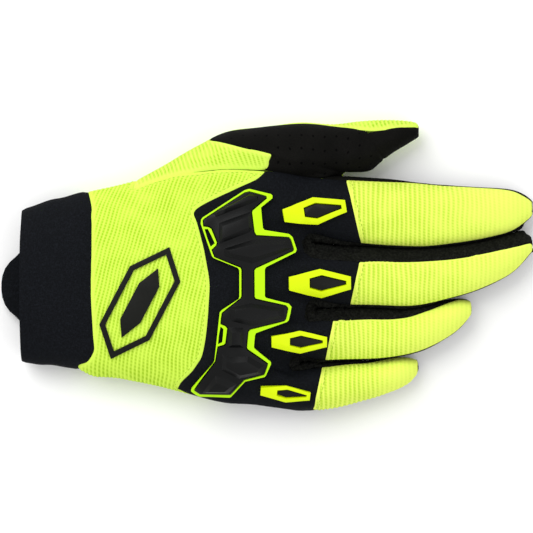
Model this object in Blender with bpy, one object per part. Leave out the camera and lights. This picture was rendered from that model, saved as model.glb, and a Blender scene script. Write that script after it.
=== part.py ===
"""Right-hand off-road riding glove, lying palm down: sewn fabric panels round a hollow hand, with
moulded rubber guards on the knuckles and fingers. +X runs to the fingertips, +Y to the thumb."""

import math

import bmesh
import bpy
from mathutils import Matrix, Vector
from mathutils.bvhtree import BVHTree
from mathutils.geometry import delaunay_2d_cdt
from mathutils.interpolate import poly_3d_calc

# Lengths along the hand, in metres
CUFF_LENGTH = 0.0320  # mouth to the seam with the back of the hand
BACK_LENGTH = 0.0950  # that seam to the line where the fingers part
INDEX_LENGTH = 0.1030  # finger lengths run from the parting line to the tip
MIDDLE_LENGTH = 0.1030
RING_LENGTH = 0.0756
LITTLE_LENGTH = 0.0515
THUMB_LENGTH = 0.1298  # from where the thumb leaves the wrist's side to its tip
TAB_LENGTH = 0.0100  # what the pull tab stands past the mouth

# Widths across the hand
INDEX_WIDTH = 0.0306
MIDDLE_WIDTH = 0.0295
RING_WIDTH = 0.0236
LITTLE_WIDTH = 0.0221
THUMB_SPREAD = 0.0250  # from the index finger's side to the thumb's outer edge
TAB_WIDTH = 0.0340
FINGER_GAP = 0.0004  # clear space between neighbouring fingers
CROTCH_WIDTH = 0.0024  # width of the strip that joins two fingers

# Heights off the surface
PALM_THICKNESS = 0.0325
INDEX_THICKNESS = 0.0210
MIDDLE_THICKNESS = 0.0215
RING_THICKNESS = 0.0200
LITTLE_THICKNESS = 0.0185
THUMB_THICKNESS = 0.0240

# Walls and clearances
KNIT_WALL = 0.0013
STRETCH_WALL = 0.0014
SUEDE_WALL = 0.0011
MESH_WALL = 0.0010
NEOPRENE_WALL = 0.0024
TAB_WALL = 0.0020
SEAM_GAP = 0.0003
LAY_GAP = 0.0004  # under a moulding that is bonded onto the fabric
STIFFNESS = 0.03  # share by which a sharp corner of a wall is rounded off inside
LONGEST_OFFSET = 2.2  # wall thicknesses at the sharpest corner
FINEST_FOLD = 0.7  # share of the skin's shortest edge that a wall may be thick
EASING_SLOPE = 1 / 3  # how fast a wall thins towards a fine fold
EASING_STEPS = 4
SHARPEST_CORNER = 0.35  # limits how far a panel's sharp corner draws back from its seam

# Mouldings
TRIM_HEIGHT = 0.0018
GUARD_BASE_HEIGHT = 0.0022
GUARD_PAD_HEIGHT = 0.0042
HEX_HEIGHT = 0.0022
HEX_INSERT_HEIGHT = 0.0014
PRINT_HEIGHT = 0.0006
PRINT_LINE = 0.0024  # width of the printed motif's lines
PLATE_CELL = 0.0045  # longest facet of a moulding's underside

# Shape of the sections
BACK_FLAT = 0.15  # share of the half width that is level on the back of the hand
PALM_FLAT = 0.60  # the same on the side that rests on the surface
LITTLE_CORNER = 0.985  # share of the half width where the back meets the side
SOLE_CORNER = 0.93  # the same on the palm
FINGER_TOP_FLAT = 0.10
FINGER_SOLE_FLAT = 0.35
TIP_BLUNTNESS = 0.8  # power of the rounding that a fingertip's height follows
SIDE_HEIGHT = 0.43  # share of the height where a section is widest

PALM_WIDTH = INDEX_WIDTH + MIDDLE_WIDTH + RING_WIDTH + LITTLE_WIDTH
HAND_LENGTH = CUFF_LENGTH + BACK_LENGTH

# Sections of the hand: along is a share of HAND_LENGTH, height of PALM_THICKNESS, the rest of PALM_WIDTH
HAND_COLUMNS = ("along", "index_edge", "index_seam", "little_edge", "height")
HAND_SECTIONS = (
    (0.000, 0.331, 0.256, -0.318, 0.80),
    (0.099, 0.374, 0.293, -0.327, 0.83),
    (0.188, 0.391, 0.307, -0.340, 0.86),
    (0.252, 0.416, 0.345, -0.374, 0.88),
    (0.323, 0.433, 0.385, -0.380, 0.90),
    (0.394, 0.452, 0.420, -0.395, 0.93),
    (0.500, 0.527, 0.469, -0.422, 0.97),
    (0.610, 0.569, 0.490, -0.456, 1.00),
    (0.730, 0.582, 0.503, -0.488, 1.00),
    (0.862, 0.573, 0.495, -0.493, 0.97),
    (0.929, 0.548, 0.488, -0.503, 0.94),
    (1.000, 0.505, 0.478, -0.518, 0.90),
)

# Bands of the fingers: along is a share of INDEX_LENGTH, index_edge of PALM_WIDTH, and the rest of each
# finger's own width
BAND_COLUMNS = ("along", "index_edge", "index", "middle", "ring", "little")
FINGER_BANDS = (
    (0.000, 0.480, 1.000, 1.000, 1.000, 1.000),
    (0.135, 0.478, 1.004, 0.950, 1.029, 0.969),
    (0.266, 0.473, 1.000, 0.924, 1.038, 0.816),
    (0.406, 0.463, 1.000, 0.919, 0.939, 0.673),
    (0.515, 0.446, 0.941, 0.885, 0.876, 0.560),
    (0.598, 0.440, 0.900, 0.837, 0.790, 0.480),
    (0.681, 0.435, 0.846, 0.809, 0.648, 0.430),
    (0.795, 0.431, 0.772, 0.733, 0.500, 0.400),
    (0.904, 0.425, 0.654, 0.649, 0.450, 0.400),
    (1.000, 0.416, 0.529, 0.550, 0.420, 0.400),
)

# Height of a finger along its own length, as shares of its thickness
FINGER_HEIGHT_COLUMNS = ("along", "top", "sole")
FINGER_HEIGHTS = (
    (-0.15, 1.45, 0.05),
    (0.00, 1.38, 0.06),
    (0.20, 1.20, 0.11),
    (0.40, 1.05, 0.15),
    (0.60, 0.97, 0.13),
    (0.80, 0.88, 0.06),
    (1.00, 0.74, 0.00),
)

# Where each finger's back panel begins, in degrees up from its thumb side
SEAM_COLUMNS = ("along", "index", "middle", "ring", "little")
FINGER_SEAMS = (
    (-0.15, 20, 36, 36, 32),
    (0.00, 22, 42, 42, 36),
    (0.10, 26, 54, 52, 38),
    (0.22, 28, 63, 60, 36),
    (0.35, 24, 60, 58, 32),
    (0.50, 8, 57, 56, 28),
    (0.68, 6, 61, 46, 12),
    (0.85, 16, 66, 30, 6),
    (1.00, 25, 80, 8, 6),
)
BACK_END = 172  # degrees, where a back panel ends on the far side
CROTCH_END = 142  # the same right beside the crotch
KNUCKLE_FADE = 0.25  # share of a finger's length over which the hand's arch turns into its own thickness
SOLE_START = -20  # degrees, where the palm panel begins below the thumb side
SOLE_END = -160

# The fingers. tip is the length that rounds off. near and far are where the knuckle panel ends on the thumb
# side and the far side, as shares of the length. start and sole_start are where the finger's skin begins on
# its thumb side, on the back and on the palm, as shares of BACK_LENGTH. near_side and far_side are where
# each side is widest, as shares of the height, which tucks one finger's side under the next one's.
FINGER_COLUMNS = (
    "name", "length", "thickness", "tip", "near", "far", "start", "sole_start", "near_side", "far_side",
)
FINGERS = (
    (
        "index", INDEX_LENGTH, INDEX_THICKNESS, 0.41 * INDEX_WIDTH,
        0.179, 0.246, 0.085, 0.185, 0.43, 0.60,
    ),
    (
        "middle", MIDDLE_LENGTH, MIDDLE_THICKNESS, 0.41 * MIDDLE_WIDTH,
        0.254, 0.200, 0.000, 0.100, 0.22, 0.60,
    ),
    (
        "ring", RING_LENGTH, RING_THICKNESS, 0.42 * RING_WIDTH,
        0.185, 0.126, 0.019, 0.120, 0.22, 0.60,
    ),
    (
        "little", LITTLE_LENGTH, LITTLE_THICKNESS, 0.45 * LITTLE_WIDTH,
        0.165, 0.080, -0.066, 0.035, 0.22, 0.43,
    ),
)
LITTLE_FAR_START = -0.057  # the same on the little finger's outer side
LITTLE_FAR_SOLE_START = -0.020

# Seams across the back of the hand: across runs from the little side, 0, to the thumb side, 1
CUFF_SEAM_COLUMNS = ("across", "along")  # along is a share of CUFF_LENGTH
CUFF_SEAM = ((0.00, 0.79), (0.08, 0.94), (0.16, 1.03), (0.30, 1.02), (0.50, 1.00), (1.00, 1.00))
PALM_CUFF_SEAM = 0.83  # the same on the palm, where it is straight
KNUCKLE_SEAM_COLUMNS = ("across", "along")  # along is a share of BACK_LENGTH, from the cuff seam
KNUCKLE_SEAM = (
    (0.000, 0.405), (0.120, 0.483), (0.200, 0.524), (0.378, 0.550), (0.498, 0.555), (0.618, 0.538),
    (0.770, 0.498), (0.820, 0.482), (0.865, 0.560), (0.924, 0.690), (1.000, 0.815),
)

# The thumb: outer and inner ends of each section, along as a share of THUMB_LENGTH from its root and out as
# a share of THUMB_SPREAD from the index finger. The inner end is further forward low down. top and sole are
# shares of THUMB_THICKNESS, and seam is in degrees.
THUMB_ROOT = 0.394  # share of HAND_LENGTH
THUMB_COLUMNS = ("outer_along", "outer_out", "inner_along", "inner_low", "inner_out", "top", "sole", "seam")
THUMB_SECTIONS = (
    (0.260, 0.658, 0.672, 0.768, 0.075, 1.10, 0.00, 5),
    (0.329, 0.802, 0.706, 0.783, 0.070, 1.07, 0.00, 5),
    (0.416, 0.865, 0.738, 0.798, 0.072, 1.04, 0.00, 5),
    (0.503, 0.914, 0.768, 0.813, 0.078, 1.01, 0.00, 5),
    (0.593, 0.955, 0.797, 0.828, 0.100, 0.98, 0.00, 8),
    (0.686, 0.932, 0.828, 0.846, 0.160, 0.94, 0.00, 26),
    (0.780, 0.978, 0.865, 0.873, 0.290, 0.89, 0.01, 58),
    (0.860, 0.996, 0.905, 0.908, 0.423, 0.82, 0.02, 66),
    (0.932, 0.995, 0.943, 0.944, 0.535, 0.72, 0.05, 62),
    (0.974, 0.970, 0.972, 0.972, 0.630, 0.60, 0.11, 60),
    (0.992, 0.925, 0.990, 0.990, 0.690, 0.49, 0.19, 60),
)
THUMB_SIDE_HEIGHT = 0.35
THUMB_TOP_FLAT = 0.20
THUMB_SOLE_FLAT = 0.45
THUMB_INNER_SEAM = 160
THUMB_SOLE_START = -25
THUMB_SOLE_END = -155

# How finely the skin is divided
COLUMN_SHARES = (0.00, 0.20, 0.38, 0.55, 0.70, 0.84, 1.00)  # across a finger, from the thumb side
SIDE_STEPS = 3
CUFF_ROWS = (0.00, 0.50, 1.00)
BACK_ROWS = (0.116, 0.233, 0.407, 0.587, 0.785, 1.00)  # cuff seam to knuckle seam
KNUCKLE_ROWS = (0.34, 0.67, 1.00)  # knuckle seam to the fingers
THUMB_ROOT_ROW = len(CUFF_ROWS) + 1
KNUCKLE_ROW = len(CUFF_ROWS) + len(BACK_ROWS) - 1
FRONT_ROW = KNUCKLE_ROW + len(KNUCKLE_ROWS)
BODY_RINGS = 5  # finger rings from the knuckle panel's end to the rounded tip
TIP_ANGLES = (28, 50, 66)  # degrees round the fingertip
TIP_REACH = math.sin(math.radians(TIP_ANGLES[-1]))
ROOT_RINGS = 2  # thumb rings from its root to its first section
THUMB_SEAM_COLUMN = 4  # the knit base ends at this column of the thumb
THUMB_TIP_SECTION = 6  # the plain tip panel begins at this section

# Outlines on the back of the hand: forward of the parting line as a share of BACK_LENGTH, then across the
# hand from its axis as a share of PALM_WIDTH
TRIM_OUTLINE = (
    (-0.281, 0.415), (-0.259, 0.420), (-0.157, 0.398), (-0.149, 0.390), (-0.150, 0.378),
    (-0.203, 0.340), (-0.194, 0.255), (-0.187, 0.247), (-0.074, 0.231), (-0.056, 0.217),
    (-0.036, 0.165), (-0.041, 0.151), (-0.180, 0.089), (-0.185, 0.080), (-0.185, -0.031),
    (-0.180, -0.037), (-0.074, -0.061), (-0.060, -0.076), (-0.073, -0.132), (-0.082, -0.141),
    (-0.227, -0.187), (-0.231, -0.197), (-0.236, -0.246), (-0.231, -0.252), (-0.156, -0.308),
    (-0.156, -0.318), (-0.180, -0.366), (-0.187, -0.373), (-0.278, -0.392), (-0.343, -0.457),
    (-0.351, -0.461), (-0.495, -0.457), (-0.510, -0.451), (-0.535, -0.434), (-0.535, -0.425),
    (-0.430, -0.314), (-0.424, -0.300), (-0.399, -0.099), (-0.390, -0.089), (-0.310, -0.042),
    (-0.307, -0.032), (-0.307, 0.077), (-0.314, 0.086), (-0.426, 0.126), (-0.435, 0.135),
    (-0.488, 0.272), (-0.486, 0.289), (-0.480, 0.298),
)
GUARD_OUTLINE = (
    (-0.281, 0.402), (-0.259, 0.407), (-0.180, 0.388), (-0.178, 0.379), (-0.245, 0.328),
    (-0.248, 0.321), (-0.236, 0.236), (-0.227, 0.223), (-0.074, 0.215), (-0.067, 0.207),
    (-0.052, 0.165), (-0.056, 0.158), (-0.230, 0.086), (-0.237, 0.077), (-0.236, -0.035),
    (-0.230, -0.043), (-0.089, -0.071), (-0.078, -0.081), (-0.089, -0.126), (-0.096, -0.135),
    (-0.256, -0.170), (-0.265, -0.180), (-0.272, -0.248), (-0.267, -0.255), (-0.172, -0.314),
    (-0.190, -0.361), (-0.283, -0.383), (-0.348, -0.447), (-0.491, -0.445), (-0.520, -0.428),
    (-0.417, -0.304), (-0.406, -0.243), (-0.376, -0.236), (-0.369, -0.228), (-0.360, -0.166),
    (-0.370, -0.155), (-0.393, -0.148), (-0.386, -0.102), (-0.298, -0.040), (-0.294, -0.030),
    (-0.294, 0.079), (-0.299, 0.089), (-0.421, 0.133), (-0.434, 0.162), (-0.412, 0.180),
    (-0.408, 0.193), (-0.435, 0.252), (-0.450, 0.259), (-0.473, 0.261), (-0.475, 0.285),
    (-0.470, 0.291),
)
TRIM_WINDOWS = (
    ((-0.467, 0.249), (-0.453, 0.249), (-0.421, 0.190), (-0.439, 0.176)),
    ((-0.393, -0.159), (-0.381, -0.169), (-0.387, -0.225), (-0.405, -0.233)),
)
GUARD_PADS = (  # each the foot of a raised pad and its level top
    (
        (
            (-0.258, 0.398), (-0.185, 0.381), (-0.251, 0.355), (-0.417, 0.298), (-0.457, 0.286),
            (-0.462, 0.294),
        ),
        (
            (-0.263, 0.383), (-0.227, 0.376), (-0.275, 0.362), (-0.407, 0.315),
        ),
    ),
    (
        (
            (-0.400, 0.274), (-0.254, 0.321), (-0.244, 0.251), (-0.261, 0.234), (-0.400, 0.187),
        ),
        (
            (-0.384, 0.257), (-0.270, 0.293), (-0.263, 0.255), (-0.384, 0.208),
        ),
    ),
    (
        (
            (-0.381, 0.166), (-0.242, 0.206), (-0.083, 0.204), (-0.062, 0.168), (-0.246, 0.104),
            (-0.374, 0.136),
        ),
        (
            (-0.355, 0.160), (-0.232, 0.185), (-0.104, 0.183), (-0.095, 0.170), (-0.246, 0.130),
            (-0.346, 0.147),
        ),
    ),
    (
        (
            (-0.353, -0.079), (-0.256, -0.060), (-0.099, -0.083), (-0.095, -0.123), (-0.251, -0.155),
            (-0.346, -0.134),
        ),
        (
            (-0.327, -0.089), (-0.256, -0.077), (-0.128, -0.094), (-0.123, -0.111), (-0.251, -0.134),
            (-0.322, -0.119),
        ),
    ),
    (
        (
            (-0.355, -0.162), (-0.287, -0.162), (-0.287, -0.245), (-0.360, -0.245),
        ),
        (
            (-0.339, -0.179), (-0.303, -0.179), (-0.303, -0.230), (-0.341, -0.230),
        ),
    ),
    (
        (
            (-0.388, -0.272), (-0.346, -0.285), (-0.265, -0.281), (-0.187, -0.321), (-0.204, -0.357),
            (-0.308, -0.376), (-0.388, -0.340),
        ),
        (
            (-0.365, -0.296), (-0.336, -0.304), (-0.270, -0.300), (-0.218, -0.328), (-0.223, -0.342),
            (-0.303, -0.355), (-0.365, -0.325),
        ),
    ),
    (
        (
            (-0.417, -0.362), (-0.317, -0.398), (-0.356, -0.438), (-0.479, -0.436),
        ),
        (
            (-0.410, -0.385), (-0.353, -0.406), (-0.375, -0.423), (-0.452, -0.422),
        ),
    ),
)

# Finger guards: centre as in the outlines above, size as shares of the finger's length and width
HEX_COLUMNS = ("forward", "across", "length", "width", "turn")
HEX_GUARDS = (
    (0.047, 0.326, 0.272, 0.400, 9),
    (0.071, 0.022, 0.266, 0.430, 1),
    (-0.026, -0.224, 0.324, 0.420, 0),
    (-0.090, -0.444, 0.430, 0.330, -6),
)
HEX_OUTLINE = ((-0.50, 0.24), (0.00, 0.50), (0.50, 0.22), (0.50, -0.22), (0.02, -0.50), (-0.50, -0.22))
HEX_INSERT = ((-0.17, 0.18), (0.03, 0.29), (0.43, 0.07), (0.43, -0.07), (0.02, -0.29), (-0.17, -0.16))

# Printed motif on the back of the hand: a long outlined hexagon with a solid one inside
MOTIF_CENTRE = (-0.770, -0.060)
MOTIF_LENGTH = 0.0560
MOTIF_WIDTH = 0.0230
MOTIF_TURN = 62
MOTIF_CORNERS = ((-0.50, 0.00), (-0.30, 0.50), (0.22, 0.50), (0.50, 0.00), (0.30, -0.50), (-0.22, -0.50))
BAR_LENGTH = 0.62  # size of the solid hexagon as shares of the outlined one's
BAR_WIDTH = 0.38

# Pull tab: share of the width at each share of the length past the mouth
TAB_SHAPE = (
    (0.00, 1.00),
    (0.18, 0.90),
    (0.38, 0.78),
    (0.62, 0.66),
    (0.84, 0.48),
    (0.96, 0.28),
    (1.00, 0.10),
)
TAB_ROOT_LENGTH = 0.0120  # the part that is sewn inside the mouth
TAB_ROOT_WIDTH = 0.78  # share of the tab's width


def column(table, columns, name):
    place = columns.index(name)
    return [row[place] for row in table]


def between(xs, ys, x):
    """Smooth curve through the points of a table, read at x and held level past its ends."""
    if x <= xs[0]:
        return ys[0]
    if x >= xs[-1]:
        return ys[-1]
    i = max(n for n in range(len(xs) - 1) if xs[n] <= x)

    def slope(n):
        if n in (0, len(xs) - 1):
            return 0.0 if len(xs) > 2 else (ys[1] - ys[0]) / (xs[1] - xs[0])
        left = (ys[n] - ys[n - 1]) / (xs[n] - xs[n - 1])
        right = (ys[n + 1] - ys[n]) / (xs[n + 1] - xs[n])
        return 0.0 if left * right <= 0 else 2 * left * right / (left + right)

    step = xs[i + 1] - xs[i]
    t = (x - xs[i]) / step
    return (
        (2 * t**3 - 3 * t**2 + 1) * ys[i]
        + (t**3 - 2 * t**2 + t) * step * slope(i)
        + (3 * t**2 - 2 * t**3) * ys[i + 1]
        + (t**3 - t**2) * step * slope(i + 1)
    )


def read(table, columns, name, x):
    return between(column(table, columns, columns[0]), column(table, columns, name), x)


def mix(a, b, t):
    return a + (b - a) * t


def crown(across, flat):
    """Height of a section, 0 at its edge to 1 over its level part, at a share of the half width."""
    past = min(1.0, max(0.0, abs(across) - flat) / (1 - flat))
    return math.sqrt(1 - past**2)


def section_height(across, top, sole, side, upper, top_flat, sole_flat):
    if upper:
        return side + (top - side) * crown(across, top_flat)
    return side - (side - sole) * crown(across, sole_flat)


def wrap(angle):
    return angle if angle <= 180 else angle - 360


# The fingers' skin


def finger_value(f, name):
    return FINGERS[f][FINGER_COLUMNS.index(name)]


def finger_edges(f, x):
    """The finger's thumb-side edge and far edge at a distance x from the mouth."""
    along = (x - HAND_LENGTH) / INDEX_LENGTH
    edge = PALM_WIDTH * read(FINGER_BANDS, BAND_COLUMNS, "index_edge", along)
    widths = (INDEX_WIDTH, MIDDLE_WIDTH, RING_WIDTH, LITTLE_WIDTH)
    for g in range(f):
        edge -= widths[g] * read(FINGER_BANDS, BAND_COLUMNS, FINGERS[g][0], along)
    far = edge - widths[f] * read(FINGER_BANDS, BAND_COLUMNS, FINGERS[f][0], along)
    return edge, far


def finger_point(f, x, angle, crotch):
    """Point of the skin round finger f at x, angle in degrees from its thumb side over the top. crotch runs
    from 1 where the finger begins to 0 where it stands free."""
    length, thickness, tip = (finger_value(f, k) for k in ("length", "thickness", "tip"))
    own = (x - HAND_LENGTH) / length
    near, far = finger_edges(f, x)
    knuckle = hand_point(min(x, HAND_LENGTH), (near + far) / 2, True).z
    near -= (CROTCH_WIDTH * crotch + FINGER_GAP) / 2 if f > 0 else 0.0
    far += (CROTCH_WIDTH * crotch + FINGER_GAP) / 2 if f < len(FINGERS) - 1 else 0.0
    past = max(0.0, min(1.0, (x - HAND_LENGTH - length + tip) / tip))
    rounding = math.sqrt(1 - (past * TIP_REACH) ** 2)
    free = max(0.0, min(1.0, own / KNUCKLE_FADE))
    top = mix(knuckle, thickness * read(FINGER_HEIGHTS, FINGER_HEIGHT_COLUMNS, "top", own), free)
    sole = thickness * read(FINGER_HEIGHTS, FINGER_HEIGHT_COLUMNS, "sole", own)
    across = math.cos(math.radians(angle))
    widest = mix(finger_value(f, "far_side"), finger_value(f, "near_side"), (1 + across) / 2)
    side = mix(sole, top, mix(widest, SIDE_HEIGHT, crotch))
    top = mix(side, top, rounding**TIP_BLUNTNESS)
    sole = mix(side, sole, rounding**TIP_BLUNTNESS)
    y = (near + far) / 2 + (near - far) / 2 * rounding * across
    z = section_height(across, top, sole, side, angle >= 0, FINGER_TOP_FLAT, FINGER_SOLE_FLAT)
    if angle >= 0 and crotch > 0:
        z = mix(z, min(z, hand_point(min(x, HAND_LENGTH), y, True).z), crotch)
    return Vector((x, y, z))


def back_start(f, x):
    own = (x - HAND_LENGTH) / finger_value(f, "length")
    return read(FINGER_SEAMS, SEAM_COLUMNS, finger_value(f, "name"), own)


def finger_start(f, across, upper):
    """Where the finger's skin begins, across from 1 on the thumb side to -1."""
    starts = [finger_value(g, "start" if upper else "sole_start") for g in range(len(FINGERS))]
    starts.append(LITTLE_FAR_START if upper else LITTLE_FAR_SOLE_START)
    return HAND_LENGTH + BACK_LENGTH * mix(starts[f], starts[f + 1], (1 - across) / 2)


def ring_place(f, ring, across, upper):
    """x of a finger's ring at a share across its width."""
    start = finger_start(f, across, upper)
    length, tip = finger_value(f, "length"), finger_value(f, "tip")
    end = HAND_LENGTH + length - tip
    if upper:
        seam = mix(finger_value(f, "near"), finger_value(f, "far"), (1 - across) / 2)
        seam_x = HAND_LENGTH + length * seam
    else:
        seam_x = mix(start, end, 2 / (BODY_RINGS + 2))
    if ring <= 2:
        return mix(start, seam_x, ring / 2)
    if ring <= 2 + BODY_RINGS:
        return mix(seam_x, end, (ring - 2) / BODY_RINGS)
    return end + tip * math.sin(math.radians(TIP_ANGLES[ring - 3 - BODY_RINGS])) / TIP_REACH


def finger_ring(f, ring):
    """The points of one ring: the back, the far side, the sole and the thumb side, each in order."""
    crotch = max(0.0, 1 - ring / 2)

    def at(angle, upper_share):
        across = math.cos(math.radians(angle))
        x = mix(ring_place(f, ring, across, False), ring_place(f, ring, across, True), upper_share)
        return finger_point(f, x, angle, crotch)

    first = back_start(f, ring_place(f, ring, 1.0, True))
    last = mix(BACK_END, CROTCH_END, crotch) if f < len(FINGERS) - 1 else BACK_END
    back = [at(mix(first, last, s), 1) for s in COLUMN_SHARES]
    sole = [at(mix(SOLE_START, SOLE_END, s), 0) for s in COLUMN_SHARES]
    steps = [n / SIDE_STEPS for n in range(1, SIDE_STEPS)]
    far_side = [at(wrap(mix(last, 360 + SOLE_END, s)), 1 - s) for s in steps]
    near_side = [at(mix(first, SOLE_START, s), 1 - s) for s in steps]
    return back, far_side, sole, near_side


def finger_rings(f):
    return [finger_ring(f, ring) for ring in range(3 + BODY_RINGS + len(TIP_ANGLES))]


# The hand's skin


def hand_section(x):
    along = x / HAND_LENGTH
    near, seam, far = (
        PALM_WIDTH * read(HAND_SECTIONS, HAND_COLUMNS, k, along) for k in HAND_COLUMNS[1:4]
    )
    return near, seam, far, PALM_THICKNESS * read(HAND_SECTIONS, HAND_COLUMNS, "height", along)


def hand_point(x, y, upper):
    near, _, far, height = hand_section(x)
    across = (y - (near + far) / 2) / ((near - far) / 2)
    z = section_height(across, height, 0.0, SIDE_HEIGHT * height, upper, BACK_FLAT, PALM_FLAT)
    return Vector((x, y, z))


def row_places(across):
    """x of each row on the back at a share across the hand, up to the knuckle seam."""
    cuff = CUFF_LENGTH * read(CUFF_SEAM, CUFF_SEAM_COLUMNS, "along", across)
    knuckle = CUFF_LENGTH + BACK_LENGTH * read(KNUCKLE_SEAM, KNUCKLE_SEAM_COLUMNS, "along", across)
    return [cuff * s for s in CUFF_ROWS] + [mix(cuff, knuckle, s) for s in BACK_ROWS]


def sole_row_places(front):
    cuff = CUFF_LENGTH * PALM_CUFF_SEAM
    rows = FRONT_ROW + 1 - len(CUFF_ROWS)
    return [cuff * s for s in CUFF_ROWS] + [mix(cuff, front, (n + 1) / rows) for n in range(rows)]


def hand_grid(front, upper):
    """Rows of points from the mouth to the front row, each from the thumb side to the little side."""
    shares = [(p.y - front[-1].y) / (front[0].y - front[-1].y) for p in front]
    rows = [[] for _ in range(FRONT_ROW + 1)]
    for share, end in zip(shares, front):
        places = row_places(share) if upper else sole_row_places(end.x)
        if upper:
            places += [mix(places[-1], end.x, s) for s in KNUCKLE_ROWS]
        for row, x in enumerate(places):
            near, seam, far, _ = hand_section(x)
            middle, half = (near + far) / 2, (near - far) / 2
            low = middle - half * (LITTLE_CORNER if upper else SOLE_CORNER)
            high = seam if upper else min(seam, middle + half * SOLE_CORNER)
            point = hand_point(x, mix(low, high, share), upper)
            toward = (row - KNUCKLE_ROW) / (FRONT_ROW - KNUCKLE_ROW)
            weight = max(0.0, toward) ** 3
            rows[row].append(point.lerp(Vector((x, end.y, end.z)), weight))
    return rows


def section_angle(point):
    """Angle of a point on the hand's section, in radians from its nearer side over the top."""
    near, _, far, _ = hand_section(point.x)
    return math.acos(min(1.0, abs(point.y - (near + far) / 2) / ((near - far) / 2)))


def hand_side(top, sole, sign):
    """Points between the back's corner and the palm's corner of one row, round the section's edge, with
    sign 1 on the thumb side."""
    points = []
    for n in range(1, SIDE_STEPS):
        x = mix(top.x, sole.x, n / SIDE_STEPS)
        near, _, far, height = hand_section(x)
        angle = mix(section_angle(top), -section_angle(sole), n / SIDE_STEPS)
        across = sign * math.cos(angle)
        z = section_height(across, height, 0.0, SIDE_HEIGHT * height, angle >= 0, BACK_FLAT, PALM_FLAT)
        points.append(Vector((x, (near + far) / 2 + (near - far) / 2 * across, z)))
    return points


# The thumb's skin


def thumb_point(section, angle):
    """Point of a thumb section, angle in degrees from its outer end over the top."""
    values = dict(zip(THUMB_COLUMNS, section))
    root = THUMB_ROOT * HAND_LENGTH
    base = PALM_WIDTH * FINGER_BANDS[0][1]
    across = math.cos(math.radians(angle))
    top, sole = THUMB_THICKNESS * values["top"], THUMB_THICKNESS * values["sole"]
    side = mix(sole, top, THUMB_SIDE_HEIGHT)
    z = section_height(across, top, sole, side, angle >= 0, THUMB_TOP_FLAT, THUMB_SOLE_FLAT)
    inner_along = mix(values["inner_low"], values["inner_along"], (z - sole) / (top - sole))
    outer = Vector((root + THUMB_LENGTH * values["outer_along"], base + THUMB_SPREAD * values["outer_out"]))
    inner = Vector((root + THUMB_LENGTH * inner_along, base + THUMB_SPREAD * values["inner_out"]))
    place = (outer + inner) / 2 + (outer - inner) / 2 * across
    return Vector((place.x, place.y, z))


def thumb_ring(section, columns):
    seam = section[THUMB_COLUMNS.index("seam")]
    shares = [n / (columns - 1) for n in range(columns)]
    steps = [n / SIDE_STEPS for n in range(1, SIDE_STEPS)]
    top = [thumb_point(section, mix(seam, THUMB_INNER_SEAM, s)) for s in shares]
    inner = [thumb_point(section, wrap(mix(THUMB_INNER_SEAM, 360 + THUMB_SOLE_END, s))) for s in steps]
    sole = [thumb_point(section, mix(THUMB_SOLE_END, THUMB_SOLE_START, s)) for s in shares]
    outer = [thumb_point(section, mix(THUMB_SOLE_START, seam, s)) for s in steps]
    return top, inner, sole, outer


# The skin as one sheet of four-sided faces, each marked with the panel it belongs to


class Skin:
    def __init__(self):
        self.mesh = bmesh.new()
        self.found = {}
        self.panel_of = {}

    def vert(self, point):
        key = tuple(round(c, 7) for c in point)
        if key not in self.found:
            self.found[key] = self.mesh.verts.new(point)
        return self.found[key]

    def face(self, panel, points):
        corners = []
        for p in points:
            v = self.vert(p)
            if v not in corners:
                corners.append(v)
        if len(corners) > 2:
            self.panel_of[self.mesh.faces.new(corners)] = panel

    def strip(self, panel, one, other):
        """Faces between two rows of points."""
        for k in range(len(one) - 1):
            self.face(panel, (one[k], one[k + 1], other[k + 1], other[k]))

    def cap(self, panel, upper, lower, start_side, end_side):
        """Closes a ring of points by its upper and lower rows and the points between their ends."""
        self.strip(panel, upper[1:-1], lower[1:-1])
        self.face(panel, [upper[1], upper[0], *start_side, lower[0], lower[1]])
        self.face(panel, [upper[-2], upper[-1], *end_side, lower[-1], lower[-2]])

    def close(self):
        """Turns every face outwards and cuts it into triangles that keep their panel."""
        names = sorted(set(self.panel_of.values()))
        for face, panel in self.panel_of.items():
            face.material_index = names.index(panel)
        bmesh.ops.triangulate(self.mesh, faces=self.mesh.faces[:], quad_method="SHORT_EDGE")
        self.panel_of = {face: names[face.material_index] for face in self.mesh.faces}
        bmesh.ops.recalc_face_normals(self.mesh, faces=self.mesh.faces[:])
        self.mesh.normal_update()
        self.mesh.faces.ensure_lookup_table()
        highest = max(self.mesh.faces, key=lambda f: f.calc_center_median().z)
        if highest.normal.z < 0:
            bmesh.ops.reverse_faces(self.mesh, faces=self.mesh.faces[:])
            self.mesh.normal_update()
        self.mesh.verts.index_update()


def add_fingers(skin, rings):
    for f, finger in enumerate(rings):
        name = finger_value(f, "name")
        web_before = "fourchette_%d" % f if f > 0 else None
        web_after = "fourchette_%d" % (f + 1) if f < len(rings) - 1 else None
        for r in range(len(finger) - 1):
            here, ahead = finger[r], finger[r + 1]
            back_panel = "knuckle_panel" if r < 2 else "finger_back_" + name
            skin.strip(back_panel, here[0], ahead[0])
            skin.strip("palm", here[2], ahead[2])
            far_here = [here[0][-1], *here[1], here[2][-1]]
            far_ahead = [ahead[0][-1], *ahead[1], ahead[2][-1]]
            near_here = [here[0][0], *here[3], here[2][0]]
            near_ahead = [ahead[0][0], *ahead[3], ahead[2][0]]
            skin.strip(web_after or back_panel, far_here, far_ahead)
            skin.strip(web_before or "palm", near_here, near_ahead)
        last = finger[-1]
        skin.cap("palm", last[0], last[2], last[3], last[1])
    for f in range(len(rings) - 1):
        one, other = rings[f][0], rings[f + 1][0]
        far = [one[0][-1], *one[1], one[2][-1]]
        near = [other[0][0], *other[3], other[2][0]]
        skin.strip("fourchette_%d" % (f + 1), far, near)


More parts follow.
